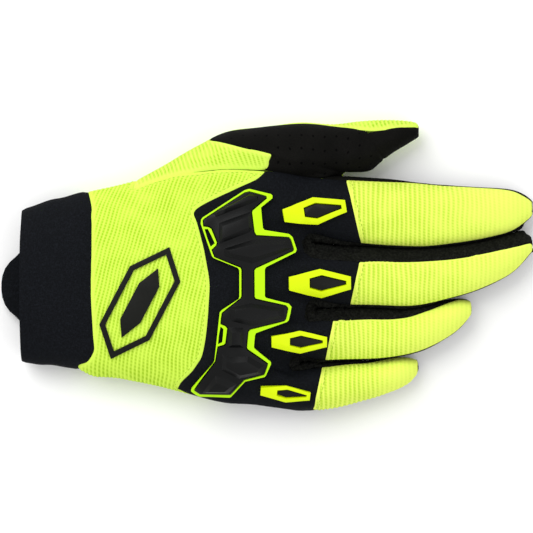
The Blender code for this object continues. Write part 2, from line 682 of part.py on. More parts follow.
def add_hand(skin, rings):
    """The cuff, the back and the palm. Returns the ring of points that the thumb grows from."""
    top_front = [p for finger in rings for p in finger[0][0]]
    sole_front = [p for finger in rings for p in finger[0][2]]
    top = hand_grid(top_front, True)
    sole = hand_grid(sole_front, False)
    near = [[t[0], *hand_side(t[0], s[0], 1), s[0]] for t, s in zip(top, sole)]
    far = [[t[-1], *hand_side(t[-1], s[-1], -1), s[-1]] for t, s in zip(top, sole)]
    near[FRONT_ROW] = [rings[0][0][0][0], *rings[0][0][3], rings[0][0][2][0]]
    far[FRONT_ROW] = [rings[-1][0][0][-1], *rings[-1][0][1], rings[-1][0][2][-1]]
    for row in range(FRONT_ROW):
        in_cuff = row < len(CUFF_ROWS) - 1
        upper = "cuff" if in_cuff else ("back_panel" if row < KNUCKLE_ROW else "knuckle_panel")
        lower = "cuff" if in_cuff else "palm"
        skin.strip(upper, top[row], top[row + 1])
        skin.strip(lower, sole[row], sole[row + 1])
        skin.strip(upper, far[row], far[row + 1])
        if row < THUMB_ROOT_ROW:
            skin.strip(upper, near[row], near[row + 1])
    rows = range(THUMB_ROOT_ROW, FRONT_ROW + 1)
    return (
        [top[r][0] for r in rows],
        near[FRONT_ROW][1:-1],
        [sole[r][0] for r in reversed(rows)],
        near[THUMB_ROOT_ROW][-2:0:-1],
    )


def add_thumb(skin, root):
    first = thumb_ring(THUMB_SECTIONS[0], len(root[0]))
    rings = [root]
    for n in range(1, ROOT_RINGS):
        share = n / ROOT_RINGS
        rings.append(tuple([a.lerp(b, share) for a, b in zip(*sides)] for sides in zip(root, first)))
    rings += [first] + [thumb_ring(s, len(root[0])) for s in THUMB_SECTIONS[1:]]
    tip_ring = ROOT_RINGS + THUMB_TIP_SECTION
    for r, (here, ahead) in enumerate(zip(rings, rings[1:])):
        inner_panel = "thumb_palm" if r < tip_ring else "thumb_tip"
        knit = THUMB_SEAM_COLUMN if r < ROOT_RINGS else 0
        skin.strip("thumb_back", here[0][: knit + 1], ahead[0][: knit + 1])
        skin.strip(inner_panel, here[0][knit:], ahead[0][knit:])
        skin.strip(
            inner_panel, [here[0][-1], *here[1], here[2][0]], [ahead[0][-1], *ahead[1], ahead[2][0]]
        )
        skin.strip("thumb_back", here[2], ahead[2])
        skin.strip(
            "thumb_back", [here[2][-1], *here[3], here[0][0]], [ahead[2][-1], *ahead[3], ahead[0][0]]
        )
    last = rings[-1]
    skin.cap("thumb_tip", last[0], last[2][::-1], last[3][::-1], last[1])


def build_skin():
    skin = Skin()
    rings = [finger_rings(f) for f in range(len(FINGERS))]
    add_fingers(skin, rings)
    root = add_hand(skin, rings)
    add_thumb(skin, root)
    skin.close()
    return skin


# Solids


def plain_material(name, colour, roughness):
    material = bpy.data.materials.new(name)
    material.use_nodes = True
    shader = material.node_tree.nodes["Principled BSDF"]
    shader.inputs["Base Color"].default_value = (*colour, 1.0)
    shader.inputs["Roughness"].default_value = roughness
    shader.inputs["Metallic"].default_value = 0.0
    material.diffuse_color = (*colour, 1.0)
    return material


def solid(name, verts, faces, material):
    """One closed object from points and faces, shaded smooth but for its sharp edges."""
    mesh = bpy.data.meshes.new(name)
    mesh.from_pydata(verts, [], faces)
    work = bmesh.new()
    work.from_mesh(mesh)
    bmesh.ops.triangulate(work, faces=[f for f in work.faces if len(f.verts) > 3], quad_method="SHORT_EDGE")
    bmesh.ops.recalc_face_normals(work, faces=work.faces[:])
    if work.calc_volume(signed=True) < 0:
        bmesh.ops.reverse_faces(work, faces=work.faces[:])
    work.to_mesh(mesh)
    work.free()
    mesh.shade_smooth()
    mesh.set_sharp_from_angle(angle=math.radians(40))
    mesh.materials.append(material)
    piece = bpy.data.objects.new(name, mesh)
    bpy.context.scene.collection.objects.link(piece)
    return piece


def seam_shift(vert, faces, gap):
    """How far a panel's border point draws back, in the surface, to leave its half of the seam's gap."""
    pulls = []
    for edge in vert.link_edges:
        own = [f for f in edge.link_faces if f in faces]
        if len(own) != 1:
            continue
        face = own[0]
        direction = (edge.verts[1].co - edge.verts[0].co).cross(face.normal).normalized()
        inward = face.calc_center_median() - (edge.verts[0].co + edge.verts[1].co) / 2
        pulls.append(direction if direction.dot(inward) > 0 else -direction)
    if len(pulls) < 2:
        return Vector()
    total = pulls[0] + pulls[1]
    return total * (gap / 2) / max(SHARPEST_CORNER, 1 + pulls[0].dot(pulls[1]))


def unit_offset(vert):
    """Outward step at a point of the skin that moves each face round it out by one, as near as can be."""
    normals = Matrix(((STIFFNESS, 0, 0), (0, STIFFNESS, 0), (0, 0, STIFFNESS)))
    total = STIFFNESS * vert.normal
    whole = sum(loop.calc_angle() for loop in vert.link_loops)
    for loop in vert.link_loops:
        n, weight = loop.face.normal, loop.calc_angle() / whole
        total += n * weight
        for row in range(3):
            for col in range(3):
                normals[row][col] += weight * n[row] * n[col]
    step = normals.inverted() @ total
    return step * min(1.0, LONGEST_OFFSET / step.length)


def wall_depths(verts, thickness):
    """Wall thickness at each point: less where the skin is finely folded, easing off round there."""
    depths = {}
    for v in verts:
        shortest = min(e.calc_length() for e in v.link_edges)
        depths[v] = min(thickness, FINEST_FOLD * shortest)
    for _ in range(EASING_STEPS):
        for v in verts:
            for edge in v.link_edges:
                near = depths.get(edge.other_vert(v), thickness)
                depths[v] = min(depths[v], near + edge.calc_length() * EASING_SLOPE)
    return depths


def wall_solid(skin, panel, thickness, material):
    """A panel's faces as a wall, inwards from the skin, with a small gap to the next panels."""
    faces = {f for f, p in skin.panel_of.items() if p == panel}
    verts = sorted({v for f in faces for v in f.verts}, key=lambda v: v.index)
    place = {v: n for n, v in enumerate(verts)}
    depths = wall_depths(verts, thickness)
    outer, inner = [], []
    for v in verts:
        point = v.co + seam_shift(v, faces, SEAM_GAP)
        outer.append(point)
        inner.append(point - unit_offset(v) * depths[v])
    count = len(verts)
    made = []
    for face in sorted(faces, key=lambda f: min(v.index for v in f.verts)):
        corners = [place[v] for v in face.verts]
        made.append(corners)
        made.append([c + count for c in reversed(corners)])
        for loop in face.loops:
            if len([f for f in loop.edge.link_faces if f in faces]) == 1:
                a, b = place[loop.vert], place[loop.link_loop_next.vert]
                made.append([b, a, a + count, b + count])
    return solid(panel, outer + inner, made, material)


class Bed:
    """The skin's upper side, read from above. On an arched bed the hand's own arch stands in for the skin,
    so a stiff moulding spans the hollows between the knuckles."""

    def __init__(self, skin, arched=False):
        self.mesh = skin.mesh
        self.arched = arched
        self.tree = BVHTree.FromBMesh(self.mesh)
        self.top = 2 * (PALM_THICKNESS + THUMB_THICKNESS)

    def at(self, x, y):
        """Place and smooth outward direction of the bed straight below a point."""
        if self.arched:
            step = KNIT_WALL
            place = hand_point(x, y, True)
            along = hand_point(x + step, y, True) - hand_point(x - step, y, True)
            across = hand_point(x, y + step, True) - hand_point(x, y - step, True)
            return place, along.cross(across).normalized()
        hit, _, index, _ = self.tree.ray_cast(Vector((x, y, self.top)), Vector((0, 0, -1)))
        if hit is None:
            hit, _, index, _ = self.tree.find_nearest(Vector((x, y, SIDE_HEIGHT * PALM_THICKNESS)))
        face = self.mesh.faces[index]
        weights = poly_3d_calc([v.co for v in face.verts], hit)
        smooth = sum((v.normal * w for v, w in zip(face.verts, weights)), Vector())
        return hit, smooth.normalized()

    def foot(self, point, height):
        """Foot of a point that shows at the given place from above when it stands that high off the bed."""
        spot = point
        for _ in range(4):
            _, normal = self.at(spot.x, spot.y)
            spot = Vector((point.x - normal.x * height, point.y - normal.y * height))
        return spot

    def folds(self, low, high):
        """The skin's own edges within a box, seen from above, where it faces up."""
        if self.arched:
            return []
        found = set()
        for face in self.mesh.faces:
            middle = face.calc_center_median()
            near = low.x < middle.x < high.x and low.y < middle.y < high.y
            if near and face.normal.z > 0.05:
                found.update(face.edges)
        ordered = sorted(found, key=lambda e: tuple(sorted(v.index for v in e.verts)))
        return [[v.co.xy for v in edge.verts] for edge in ordered]


def divide(outline, cell):
    """The outline with its long sides divided."""
    points = []
    for a, b in zip(outline, outline[1:] + outline[:1]):
        count = max(1, math.ceil((b - a).length / cell))
        points += [a.lerp(b, n / count) for n in range(count)]
    return points


def inside(point, outline):
    found = False
    for a, b in zip(outline, outline[1:] + outline[:1]):
        if (a.y > point.y) != (b.y > point.y):
            if point.x < a.x + (point.y - a.y) / (b.y - a.y) * (b.x - a.x):
                found = not found
    return found


def distance_to(point, outline):
    nearest = math.inf
    for a, b in zip(outline, outline[1:] + outline[:1]):
        along = max(0.0, min(1.0, (point - a).dot(b - a) / (b - a).length_squared))
        nearest = min(nearest, (point - a.lerp(b, along)).length)
    return nearest


def laid_solid(name, bed, outline, height, material, holes=(), creases=()):
    """A moulding on its bed. The outline, holes and crease lines are those of its foot, seen from above,
    and height gives how far its upper side stands off its underside."""
    margin = Vector((2 * PLATE_CELL, 2 * PLATE_CELL))
    low = Vector((min(p.x for p in outline), min(p.y for p in outline))) - margin
    high = Vector((max(p.x for p in outline), max(p.y for p in outline))) + margin
    folds = bed.folds(low, high)
    loops = [list(loop) if folds else divide(loop, PLATE_CELL) for loop in (outline, *holes, *creases)]
    points, edges = [], []
    for loop in loops:
        first = len(points)
        points += loop
        edges += [(first + n, first + (n + 1) % len(loop)) for n in range(len(loop))]
    for a, b in folds:
        edges.append((len(points), len(points) + 1))
        points += [a, b]
    if not folds:
        for i in range(math.ceil((high.x - low.x) / PLATE_CELL)):
            for j in range(math.ceil((high.y - low.y) / PLATE_CELL)):
                spot = Vector((low.x + i * PLATE_CELL, low.y + j * PLATE_CELL))
                if inside(spot, outline) and all(distance_to(spot, c) > PLATE_CELL / 2.2 for c in loops):
                    points.append(spot)
    flat, _, cells, *_ = delaunay_2d_cdt(points, edges, [], 0, 1e-6)
    kept = []
    for cell in cells:
        middle = sum((flat[k] for k in cell), Vector((0, 0))) / len(cell)
        if inside(middle, outline) and not any(inside(middle, h) for h in holes):
            kept.append(list(cell))
    used = sorted({k for cell in kept for k in cell})
    place = {k: n for n, k in enumerate(used)}
    count = len(used)
    under, over = [], []
    for k in used:
        spot, normal = bed.at(flat[k].x, flat[k].y)
        under.append(spot + normal * LAY_GAP)
        over.append(spot + normal * (LAY_GAP + height(flat[k])))
    faces, sides = [], {}
    for cell in kept:
        corners = [place[k] for k in cell]
        faces += [corners, [c + count for c in reversed(corners)]]
        for a, b in zip(corners, corners[1:] + corners[:1]):
            key = (min(a, b), max(a, b))
            sides[key] = None if key in sides else (a, b)
    faces += [[b, a, a + count, b + count] for a, b in filter(None, sides.values())]
    return solid(name, over + under, faces, material)


def on_hand(points):
    """Outline points from shares of the hand's sizes to places."""
    return [Vector((HAND_LENGTH + BACK_LENGTH * p[0], PALM_WIDTH * p[1])) for p in points]


def turned(points, centre, length, width, degrees):
    c, s = math.cos(math.radians(degrees)), math.sin(math.radians(degrees))
    placed = []
    for u, v in points:
        x, y = u * length, v * width
        placed.append(centre + Vector((x * c - y * s, x * s + y * c)))
    return placed


def moved_in(outline, distance):
    """The outline drawn in by a distance, corner by corner."""
    area = sum(a.x * b.y - b.x * a.y for a, b in zip(outline, outline[1:] + outline[:1]))
    sign = 1 if area > 0 else -1
    drawn = []
    for n, point in enumerate(outline):
        before = (point - outline[n - 1]).normalized()
        after = (outline[(n + 1) % len(outline)] - point).normalized()
        one = Vector((-before.y, before.x)) * sign
        two = Vector((-after.y, after.x)) * sign
        drawn.append(point + (one + two) * distance / max(SHARPEST_CORNER, 1 + one.dot(two)))
    return drawn


def flat_height(height):
    return lambda point: height


def pad_height(pads):
    """Height of the knuckle guard: raised pads with sloping sides on a lower base."""

    def height(point):
        for foot, level in pads:
            if inside(point, level) or distance_to(point, level) < 1e-6:
                return GUARD_PAD_HEIGHT
            if inside(point, foot):
                out, up = distance_to(point, foot), distance_to(point, level)
                return mix(GUARD_BASE_HEIGHT, GUARD_PAD_HEIGHT, out / (out + up))
        return GUARD_BASE_HEIGHT

    return height


def build_guards(bed, colours):
    def placed(points):
        return [bed.foot(p, TRIM_HEIGHT) for p in on_hand(points)]

    guard = placed(GUARD_OUTLINE)
    windows = [placed(w) for w in TRIM_WINDOWS]
    pads = [(placed(foot), placed(level)) for foot, level in GUARD_PADS]
    laid_solid(
        "guard_trim", bed, placed(TRIM_OUTLINE), flat_height(TRIM_HEIGHT), colours["neon_rubber"],
        holes=[guard, *windows],
    )
    laid_solid(
        "knuckle_guard", bed, moved_in(guard, SEAM_GAP), pad_height(pads), colours["black_rubber"],
        creases=[loop for pad in pads for loop in pad],
    )


def build_finger_guards(bed, colours):
    widths = (INDEX_WIDTH, MIDDLE_WIDTH, RING_WIDTH, LITTLE_WIDTH)
    for f, row in enumerate(HEX_GUARDS):
        values = dict(zip(HEX_COLUMNS, row))
        name = finger_value(f, "name")
        centre = on_hand([(values["forward"], values["across"])])[0]
        length = finger_value(f, "length") * values["length"]
        width = widths[f] * values["width"]
        outline, insert = (
            [bed.foot(p, HEX_HEIGHT) for p in turned(shape, centre, length, width, values["turn"])]
            for shape in (HEX_OUTLINE, HEX_INSERT)
        )
        laid_solid(
            "finger_guard_" + name, bed, outline, flat_height(HEX_HEIGHT), colours["neon_rubber"],
            holes=[insert],
        )
        laid_solid(
            "guard_insert_" + name, bed, moved_in(insert, SEAM_GAP), flat_height(HEX_INSERT_HEIGHT),
            colours["black_rubber"],
        )


def build_motif(bed, colours):
    centre = on_hand([MOTIF_CENTRE])[0]
    ring = turned(MOTIF_CORNERS, centre, MOTIF_LENGTH, MOTIF_WIDTH, MOTIF_TURN)
    bar = turned(MOTIF_CORNERS, centre, MOTIF_LENGTH * BAR_LENGTH, MOTIF_WIDTH * BAR_WIDTH, MOTIF_TURN)
    laid_solid(
        "motif_ring", bed, ring, flat_height(PRINT_HEIGHT), colours["black_print"],
        holes=[moved_in(ring, PRINT_LINE)],
    )
    laid_solid("motif_bar", bed, bar, flat_height(PRINT_HEIGHT), colours["black_print"])


def build_tab(colours):
    """The pull tab: a rounded flap on the inside of the cuff's palm side, standing out past the mouth."""
    near, _, far, _ = hand_section(0.0)
    middle = (near + far) / 2
    floor = NEOPRENE_WALL + SEAM_GAP
    side = [(-TAB_LENGTH * a, TAB_WIDTH / 2 * w) for a, w in TAB_SHAPE]
    root = [(TAB_ROOT_LENGTH, TAB_WIDTH / 2 * TAB_ROOT_WIDTH), (SEAM_GAP, TAB_WIDTH / 2 * TAB_ROOT_WIDTH)]
    half = root + side
    outline = [Vector((x, middle + y, 0)) for x, y in half] + [
        Vector((x, middle - y, 0)) for x, y in reversed(half)
    ]
    count = len(outline)
    lift = Vector((0, 0, floor))
    verts = [p + lift for p in outline] + [p + lift + Vector((0, 0, TAB_WALL)) for p in outline]
    faces = [list(range(count)), [n + count for n in reversed(range(count))]]
    faces += [[(n + 1) % count, n, n + count, (n + 1) % count + count] for n in range(count)]
    return solid("pull_tab", verts, faces, colours["black_neoprene"])


def centre_all():
    """Puts the origin under the middle of the whole glove, on the surface that it lies on."""
    bpy.context.view_layer.update()
    pieces = [o for o in bpy.data.objects if o.type == "MESH"]
    corners = [v.co for o in pieces for v in o.data.vertices]
    low = Vector([min(c[k] for c in corners) for k in range(3)])
    high = Vector([max(c[k] for c in corners) for k in range(3)])
    shift = Vector((-(low.x + high.x) / 2, -(low.y + high.y) / 2, -low.z))
    for piece in pieces:
        piece.location = shift


def build():
    for old in list(bpy.data.objects):
        bpy.data.objects.remove(old)
    colours = {
        "neon_knit": plain_material("neon_knit", (0.60, 0.92, 0.05), 0.85),
        "black_stretch": plain_material("black_stretch", (0.010, 0.012, 0.016), 0.80),
        "black_suede": plain_material("black_suede", (0.008, 0.008, 0.008), 0.90),
        "black_mesh": plain_material("black_mesh", (0.006, 0.007, 0.006), 0.85),
        "black_neoprene": plain_material("black_neoprene", (0.008, 0.010, 0.014), 0.75),
        "black_rubber": plain_material("black_rubber", (0.018, 0.019, 0.018), 0.50),
        "neon_rubber": plain_material("neon_rubber", (0.70, 0.98, 0.01), 0.45),
        "black_print": plain_material("black_print", (0.012, 0.012, 0.012), 0.60),
    }
    skin = build_skin()
    walls = {
        "cuff": (NEOPRENE_WALL, "black_neoprene"),
        "back_panel": (KNIT_WALL, "neon_knit"),
        "knuckle_panel": (STRETCH_WALL, "black_stretch"),
        "palm": (SUEDE_WALL, "black_suede"),
        "thumb_back": (KNIT_WALL, "neon_knit"),
        "thumb_palm": (SUEDE_WALL, "black_suede"),
        "thumb_tip": (SUEDE_WALL, "black_suede"),
    }
    for f in range(len(FINGERS)):
        walls["finger_back_" + finger_value(f, "name")] = (KNIT_WALL, "neon_knit")
    for f in range(1, len(FINGERS)):
        walls["fourchette_%d" % f] = (MESH_WALL, "black_mesh")
    for panel, (thickness, colour) in walls.items():
        wall_solid(skin, panel, thickness, colours[colour])
    bed = Bed(skin)
    build_guards(Bed(skin, arched=True), colours)
    build_finger_guards(bed, colours)
    build_motif(bed, colours)
    build_tab(colours)
    centre_all()
    skin.mesh.free()


build()
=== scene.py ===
import math

import bmesh
import bpy
import numpy as np
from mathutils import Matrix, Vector, kdtree, noise
from mathutils.bvhtree import BVHTree


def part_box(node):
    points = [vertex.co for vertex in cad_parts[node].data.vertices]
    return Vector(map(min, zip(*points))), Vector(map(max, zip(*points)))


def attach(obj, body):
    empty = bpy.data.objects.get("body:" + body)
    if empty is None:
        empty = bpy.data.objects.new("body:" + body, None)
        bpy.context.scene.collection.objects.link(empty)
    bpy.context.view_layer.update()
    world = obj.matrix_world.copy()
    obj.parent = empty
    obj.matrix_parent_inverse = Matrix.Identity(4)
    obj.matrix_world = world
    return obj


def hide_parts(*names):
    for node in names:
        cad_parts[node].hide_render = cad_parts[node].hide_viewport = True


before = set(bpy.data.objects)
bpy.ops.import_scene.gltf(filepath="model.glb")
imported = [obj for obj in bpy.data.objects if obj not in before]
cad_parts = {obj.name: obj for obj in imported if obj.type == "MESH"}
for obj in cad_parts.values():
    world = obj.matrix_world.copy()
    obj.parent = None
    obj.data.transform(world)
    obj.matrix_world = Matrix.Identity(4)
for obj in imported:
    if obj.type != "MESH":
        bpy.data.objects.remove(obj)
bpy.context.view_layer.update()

# The table and the light
# The glove lies palm down on a white sheet, photographed from straight above with a long lens, under two
# wide soft lights and much light from all round, so its shadow is faint.


def srgb(code):
    """An sRGB hex colour as linear red, green, blue and alpha."""
    parts = [int(code[k:k + 2], 16) / 255 for k in (1, 3, 5)]
    return [c / 12.92 if c <= 0.04045 else ((c + 0.055) / 1.055) ** 2.4 for c in parts] + [1.0]


def add(tree, kind, inputs=None, **settings):
    """Adds a node with its settings. inputs gives a socket a value, or the output that feeds it."""
    made = tree.nodes.new("ShaderNode" + kind)
    for key, value in settings.items():
        setattr(made, key, value)
    for key, value in (inputs or {}).items():
        if isinstance(value, bpy.types.NodeSocket):
            tree.links.new(value, made.inputs[key])
        else:
            made.inputs[key].default_value = value
    return made


def new_material(name):
    """A material's node tree and its Principled shader."""
    made = bpy.data.materials.new(name)
    made.use_nodes = True
    tree = made.node_tree
    tree.nodes.clear()
    shader = add(tree, "BsdfPrincipled")
    output = add(tree, "OutputMaterial")
    tree.links.new(shader.outputs[0], output.inputs[0])
    return made, tree, shader


TABLE_HALF = 3.0
TABLE_TOP = -0.0004  # a little under the glove, so that the two never share a surface
TABLE_CORNERS = ((-1, -1), (1, -1), (1, 1), (-1, 1))
table = bpy.data.meshes.new("white_sheet")
table.from_pydata(
    [(x * TABLE_HALF, y * TABLE_HALF, TABLE_TOP) for x, y in TABLE_CORNERS], [], [(0, 1, 2, 3)]
)
sheet = bpy.data.objects.new("white_sheet", table)
bpy.context.scene.collection.objects.link(sheet)
# Uncoated paper, pressed but not glazed: fully matt, so that no light is mirrored in it
paper, _, paper_shader = new_material("matte_white_paper")
paper_shader.inputs["Base Color"].default_value = srgb("#ffffff")
paper_shader.inputs["Roughness"].default_value = 0.9
paper_shader.inputs["Specular IOR Level"].default_value = 0.0
table.materials.append(paper)

ROOM_LIGHT = 0.70
world = bpy.data.worlds.new("bright_room")
world.use_nodes = True
bpy.context.scene.world = world
world.node_tree.nodes["Background"].inputs["Color"].default_value = srgb("#ffffff")
world.node_tree.nodes["Background"].inputs["Strength"].default_value = ROOM_LIGHT
bpy.context.scene.view_settings.view_transform = "Standard"

SOFTBOXES = (  # name, place, width in metres, power in watts
    ("key", (-0.45, 0.55, 0.80), 0.9, 7.5),
    ("fill", (0.60, -0.40, 0.90), 1.0, 2.5),
)
for light_name, place, width, power in SOFTBOXES:
    lamp = bpy.data.lights.new(light_name, "AREA")
    lamp.size = width
    lamp.energy = power
    holder = bpy.data.objects.new(light_name, lamp)
    holder.location = place
    holder.rotation_euler = (-Vector(place)).to_track_quat("-Z", "Y").to_euler()
    bpy.context.scene.collection.objects.link(holder)

LENS = 200.0
FRAME_WIDTH = 0.2400  # what the picture spans at half the fingers' height
FINGER_MIDDLE = 0.011  # half the fingers' height
GLOVE_MIDDLE = -0.0005  # the glove stands this much towards the little finger in the picture
lens = bpy.data.cameras.new("camera")
lens.lens = LENS
lens.clip_start = 0.05
camera = bpy.data.objects.new("camera", lens)
camera.location = (0.0, GLOVE_MIDDLE, FINGER_MIDDLE + FRAME_WIDTH * LENS / lens.sensor_width)
bpy.context.scene.collection.objects.link(camera)
bpy.context.scene.camera = camera


# The knitted back of the hand
# One panel of stretch rib knit, dyed fluorescent yellow, cut to the knuckle seam and rolled over the
# little finger's side. Its edges are turned in and sewn, so they sink into the seams.

WELD = 1e-6
MOULDED_NODES = ("guard", "motif", "tab")
FABRIC_NODES = [n for n in sorted(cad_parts) if not any(word in n for word in MOULDED_NODES)]


def welded(node_name):
    """A CAD node's mesh with its faces joined at their shared points."""
    work = bmesh.new()
    work.from_mesh(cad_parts[node_name].data)
    bmesh.ops.remove_doubles(work, verts=work.verts[:], dist=WELD)
    work.normal_update()
    work.faces.ensure_lookup_table()
    return work


def tree_of_walls():
    """All the fabric walls of the glove in one search tree."""
    points, faces = [], []
    for node_name in FABRIC_NODES:
        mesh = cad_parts[node_name].data
        first = len(points)
        points += [v.co.copy() for v in mesh.vertices]
        faces += [[first + k for k in p.vertices] for p in mesh.polygons]
    return BVHTree.FromPolygons(points, faces)


ALL_WALLS = tree_of_walls()
SIDES_OF_A_WALL = 2
MOST_WALLS = 60  # a line that met so many is caught in a wall, and is given up
OFF_FACE = 2e-5  # a line starts this far off the face that it leaves
PAST_WALL = 1e-6  # and goes on this far past a wall that it met
INTO_WALL = 1e-5  # a line through a wall starts this far inside it
FOLD = math.radians(50)  # sharper than this, two faces belong to different patches of a wall
NEAR = 0.0040  # faces this close to a small one say which way it should look
SMALL_FACE = 3.0e-6  # in square metres
TURNED_AWAY = math.radians(72)
CUT_EDGE_DEPTH = 1.6  # a face over more than this many walls' depth lies on a cut edge
MOSTLY = 0.6  # the share of a patch that has to look out of the glove
JOIN_FOLD = math.radians(35)  # two triangles that fold less than this are made one four-sided face
JOIN_SKEW = math.radians(70)  # if its corners stay within this of a square's
CROWDED = 0.0010  # points of a corner closer than this are made one, so that it rounds off cleanly


def faces_out(face):
    """True where a straight line off the face leaves the glove, or passes whole fingers on its way."""
    direction = face.normal
    place = face.calc_center_median() + direction * OFF_FACE
    hits = 0
    while hits < MOST_WALLS:
        found = ALL_WALLS.ray_cast(place, direction)[0]
        if found is None:
            break
        hits += 1
        place = found + direction * PAST_WALL
    return hits % (2 * SIDES_OF_A_WALL) == 0


def patches(work):
    """The faces of a wall in patches that meet only at sharp folds."""
    seen = set()
    for start in work.faces:
        if start in seen:
            continue
        seen.add(start)
        patch, waiting = [], [start]
        while waiting:
            face = waiting.pop()
            patch.append(face)
            for edge in face.edges:
                for other in edge.link_faces:
                    if other not in seen and face.normal.angle(other.normal, 0) < FOLD:
                        seen.add(other)
                        waiting.append(other)
        yield patch


def strays(kept):
    """Small faces turned well away from those round them: bits of a wall's cut edge or inner side."""
    facts = [(f, f.calc_center_median(), f.normal * f.calc_area()) for f in kept]
    found = set()
    for face, centre, pull in facts:
        if pull.length < SMALL_FACE:
            around = sum((p for _, c, p in facts if (c - centre).length < NEAR), Vector())
            if face.normal.angle(around, 0) > TURNED_AWAY:
                found.add(face)
    return found


def outer_skin(node_name, crowded=CROWDED):
    """The outer side of a fabric wall as an open sheet, without its cut edges and its inner side."""
    work = welded(node_name)
    own = BVHTree.FromBMesh(work)
    depth = {}
    for face in work.faces:
        hit = own.ray_cast(face.calc_center_median() - face.normal * INTO_WALL, -face.normal)
        depth[face] = hit[3] if hit[0] else math.inf
    total = sum(f.calc_area() for f in work.faces)
    passed = 0.0
    for face in sorted(work.faces, key=lambda f: depth[f]):
        passed += face.calc_area()
        wall = depth[face]
        if passed > total / 2:
            break
    kept = set()
    for patch in patches(work):
        area = sum(f.calc_area() for f in patch)
        cut_edge = sum(f.calc_area() for f in patch if depth[f] > CUT_EDGE_DEPTH * wall)
        outward = sum(f.calc_area() for f in patch if faces_out(f))
        if cut_edge < area / 2 and outward > MOSTLY * area:
            kept.update(patch)
    kept -= strays(kept)
    bmesh.ops.delete(work, geom=[f for f in work.faces if f not in kept], context="FACES")
    bmesh.ops.remove_doubles(work, verts=work.verts[:], dist=crowded)
    loose = [v for v in work.verts if not v.link_faces]
    bmesh.ops.delete(work, geom=loose, context="VERTS")
    bmesh.ops.join_triangles(
        work, faces=work.faces[:], angle_face_threshold=JOIN_FOLD, angle_shape_threshold=JOIN_SKEW
    )
    return work


def coordinates(mesh, kind="co"):
    """The places of a mesh's points, or their normals, as a table of x, y and z."""
    flat = np.zeros(len(mesh.vertices) * 3)
    mesh.vertices.foreach_get(kind, flat)
    return flat.reshape(-1, 3)


def place_points(mesh, points):
    """Moves a mesh's points to the places in a table of x, y and z."""
    mesh.vertices.foreach_set("co", np.asarray(points, dtype=float).ravel())
    mesh.update()


def shown_mesh(piece):
    """A copy of a piece's mesh as its modifiers show it."""
    bpy.context.view_layer.update()
    return bpy.data.meshes.new_from_object(piece.evaluated_get(bpy.context.evaluated_depsgraph_get()))


PULL_ROUNDS = 4
PULL = 0.8  # how much of what is still missing each round adds
MOST_PULL = 0.6  # the furthest that a point moves, as a share of its shortest edge


def rounded_sheet(name, work, level):
    """A smooth fine sheet that passes through the points of a coarse one."""
    mesh = bpy.data.meshes.new(name)
    work.to_mesh(mesh)
    work.free()
    piece = bpy.data.objects.new(name, mesh)
    bpy.context.scene.collection.objects.link(piece)
    smoother = piece.modifiers.new("smoother", "SUBSURF")
    smoother.boundary_smooth = "PRESERVE_CORNERS"
    smoother.levels = smoother.render_levels = 1
    aim = coordinates(mesh)
    room = np.full(len(aim), math.inf)
    for edge in mesh.edges:
        length = (mesh.vertices[edge.vertices[0]].co - mesh.vertices[edge.vertices[1]].co).length
        for end in edge.vertices:
            room[end] = min(room[end], MOST_PULL * length)
    moved = np.zeros_like(aim)
    for _ in range(PULL_ROUNDS):
        reached = shown_mesh(piece)
        moved += PULL * (aim - coordinates(reached)[:len(aim)])
        bpy.data.meshes.remove(reached)
        size = np.linalg.norm(moved, axis=1)
        moved *= np.minimum(1.0, room / np.maximum(size, 1e-9))[:, None]
        place_points(mesh, aim + moved)
    smoother.levels = smoother.render_levels = level
    fine = shown_mesh(piece)
    piece.modifiers.clear()
    piece.data = fine
    bpy.data.meshes.remove(mesh)
    return piece


ALIGNED = 0.7  # the cosine of the angle up to which an edge runs along a direction


def divide_across(piece, direction, cuts):
    """Divides the sheet's edges that run along a direction, where its ribs need more points."""
    work = bmesh.new()
    work.from_mesh(piece.data)
    chosen = []
    for edge in work.edges:
        span = (edge.verts[1].co - edge.verts[0].co).normalized()
        if abs(span.dot(direction)) > ALIGNED:
            chosen.append(edge)
    bmesh.ops.subdivide_edges(work, edges=chosen, cuts=cuts, use_grid_fill=True)
    work.to_mesh(piece.data)
    work.free()
    piece.data.update()


def border_edges(mesh):
    """The edges of a sheet that belong to one face only, each as the numbers of its two points."""
    counts = {}
    for polygon in mesh.polygons:
        for key in polygon.edge_keys:
            counts[key] = counts.get(key, 0) + 1
    return [key for key, n in counts.items() if n == 1]


def border_points(mesh):
    """The numbers of the points on a sheet's border, in order."""
    return sorted({point for key in border_edges(mesh) for point in key})


def edge_distances(mesh, points):
    """How far each point of a sheet lies from the sheet's own edge, in metres."""
    edge = border_points(mesh)
    search = kdtree.KDTree(len(edge))
    for n in edge:
        search.insert(points[n], n)
    search.balance()
    return np.array([search.find(p)[2] for p in points])


def smooth_step(low, high, x):
    """0 up to low, 1 from high on, and an even rise between them."""
    t = np.clip((x - low) / (high - low), 0, 1)
    return t * t * (3 - 2 * t)


HEM_DEPTH = 0.00042  # how far a sewn edge sinks into its seam
HEM_WIDTH = 0.00150
SEAM_REACH = 0.00030  # how far it reaches on under its neighbour's edge
STITCH_INSET = 0.0022
GROOVE_DEPTH = 0.00012
GROOVE_WIDTH = 0.0004


def sewn_edge(distance):
    """Height of a sheet near its edge, 0 away from it and -HEM_DEPTH in the seam."""
    return -HEM_DEPTH * (1 - np.clip(distance / HEM_WIDTH, 0, 1)) ** 2


def stitch_groove(distance):
    """The shallow furrow that a row of stitches pulls into the cloth, STITCH_INSET from its edge."""
    return -GROOVE_DEPTH * np.exp(-((distance - STITCH_INSET) / GROOVE_WIDTH) ** 2)


def waves(points, length, seed):
    """Slow unevenness of hand-stretched cloth, from -1 to 1, over a wave length in metres."""
    shift = Vector((seed * 7.3, seed * 3.1, seed * 5.7))
    return np.array([noise.noise(Vector(p) / length + shift) for p in points])


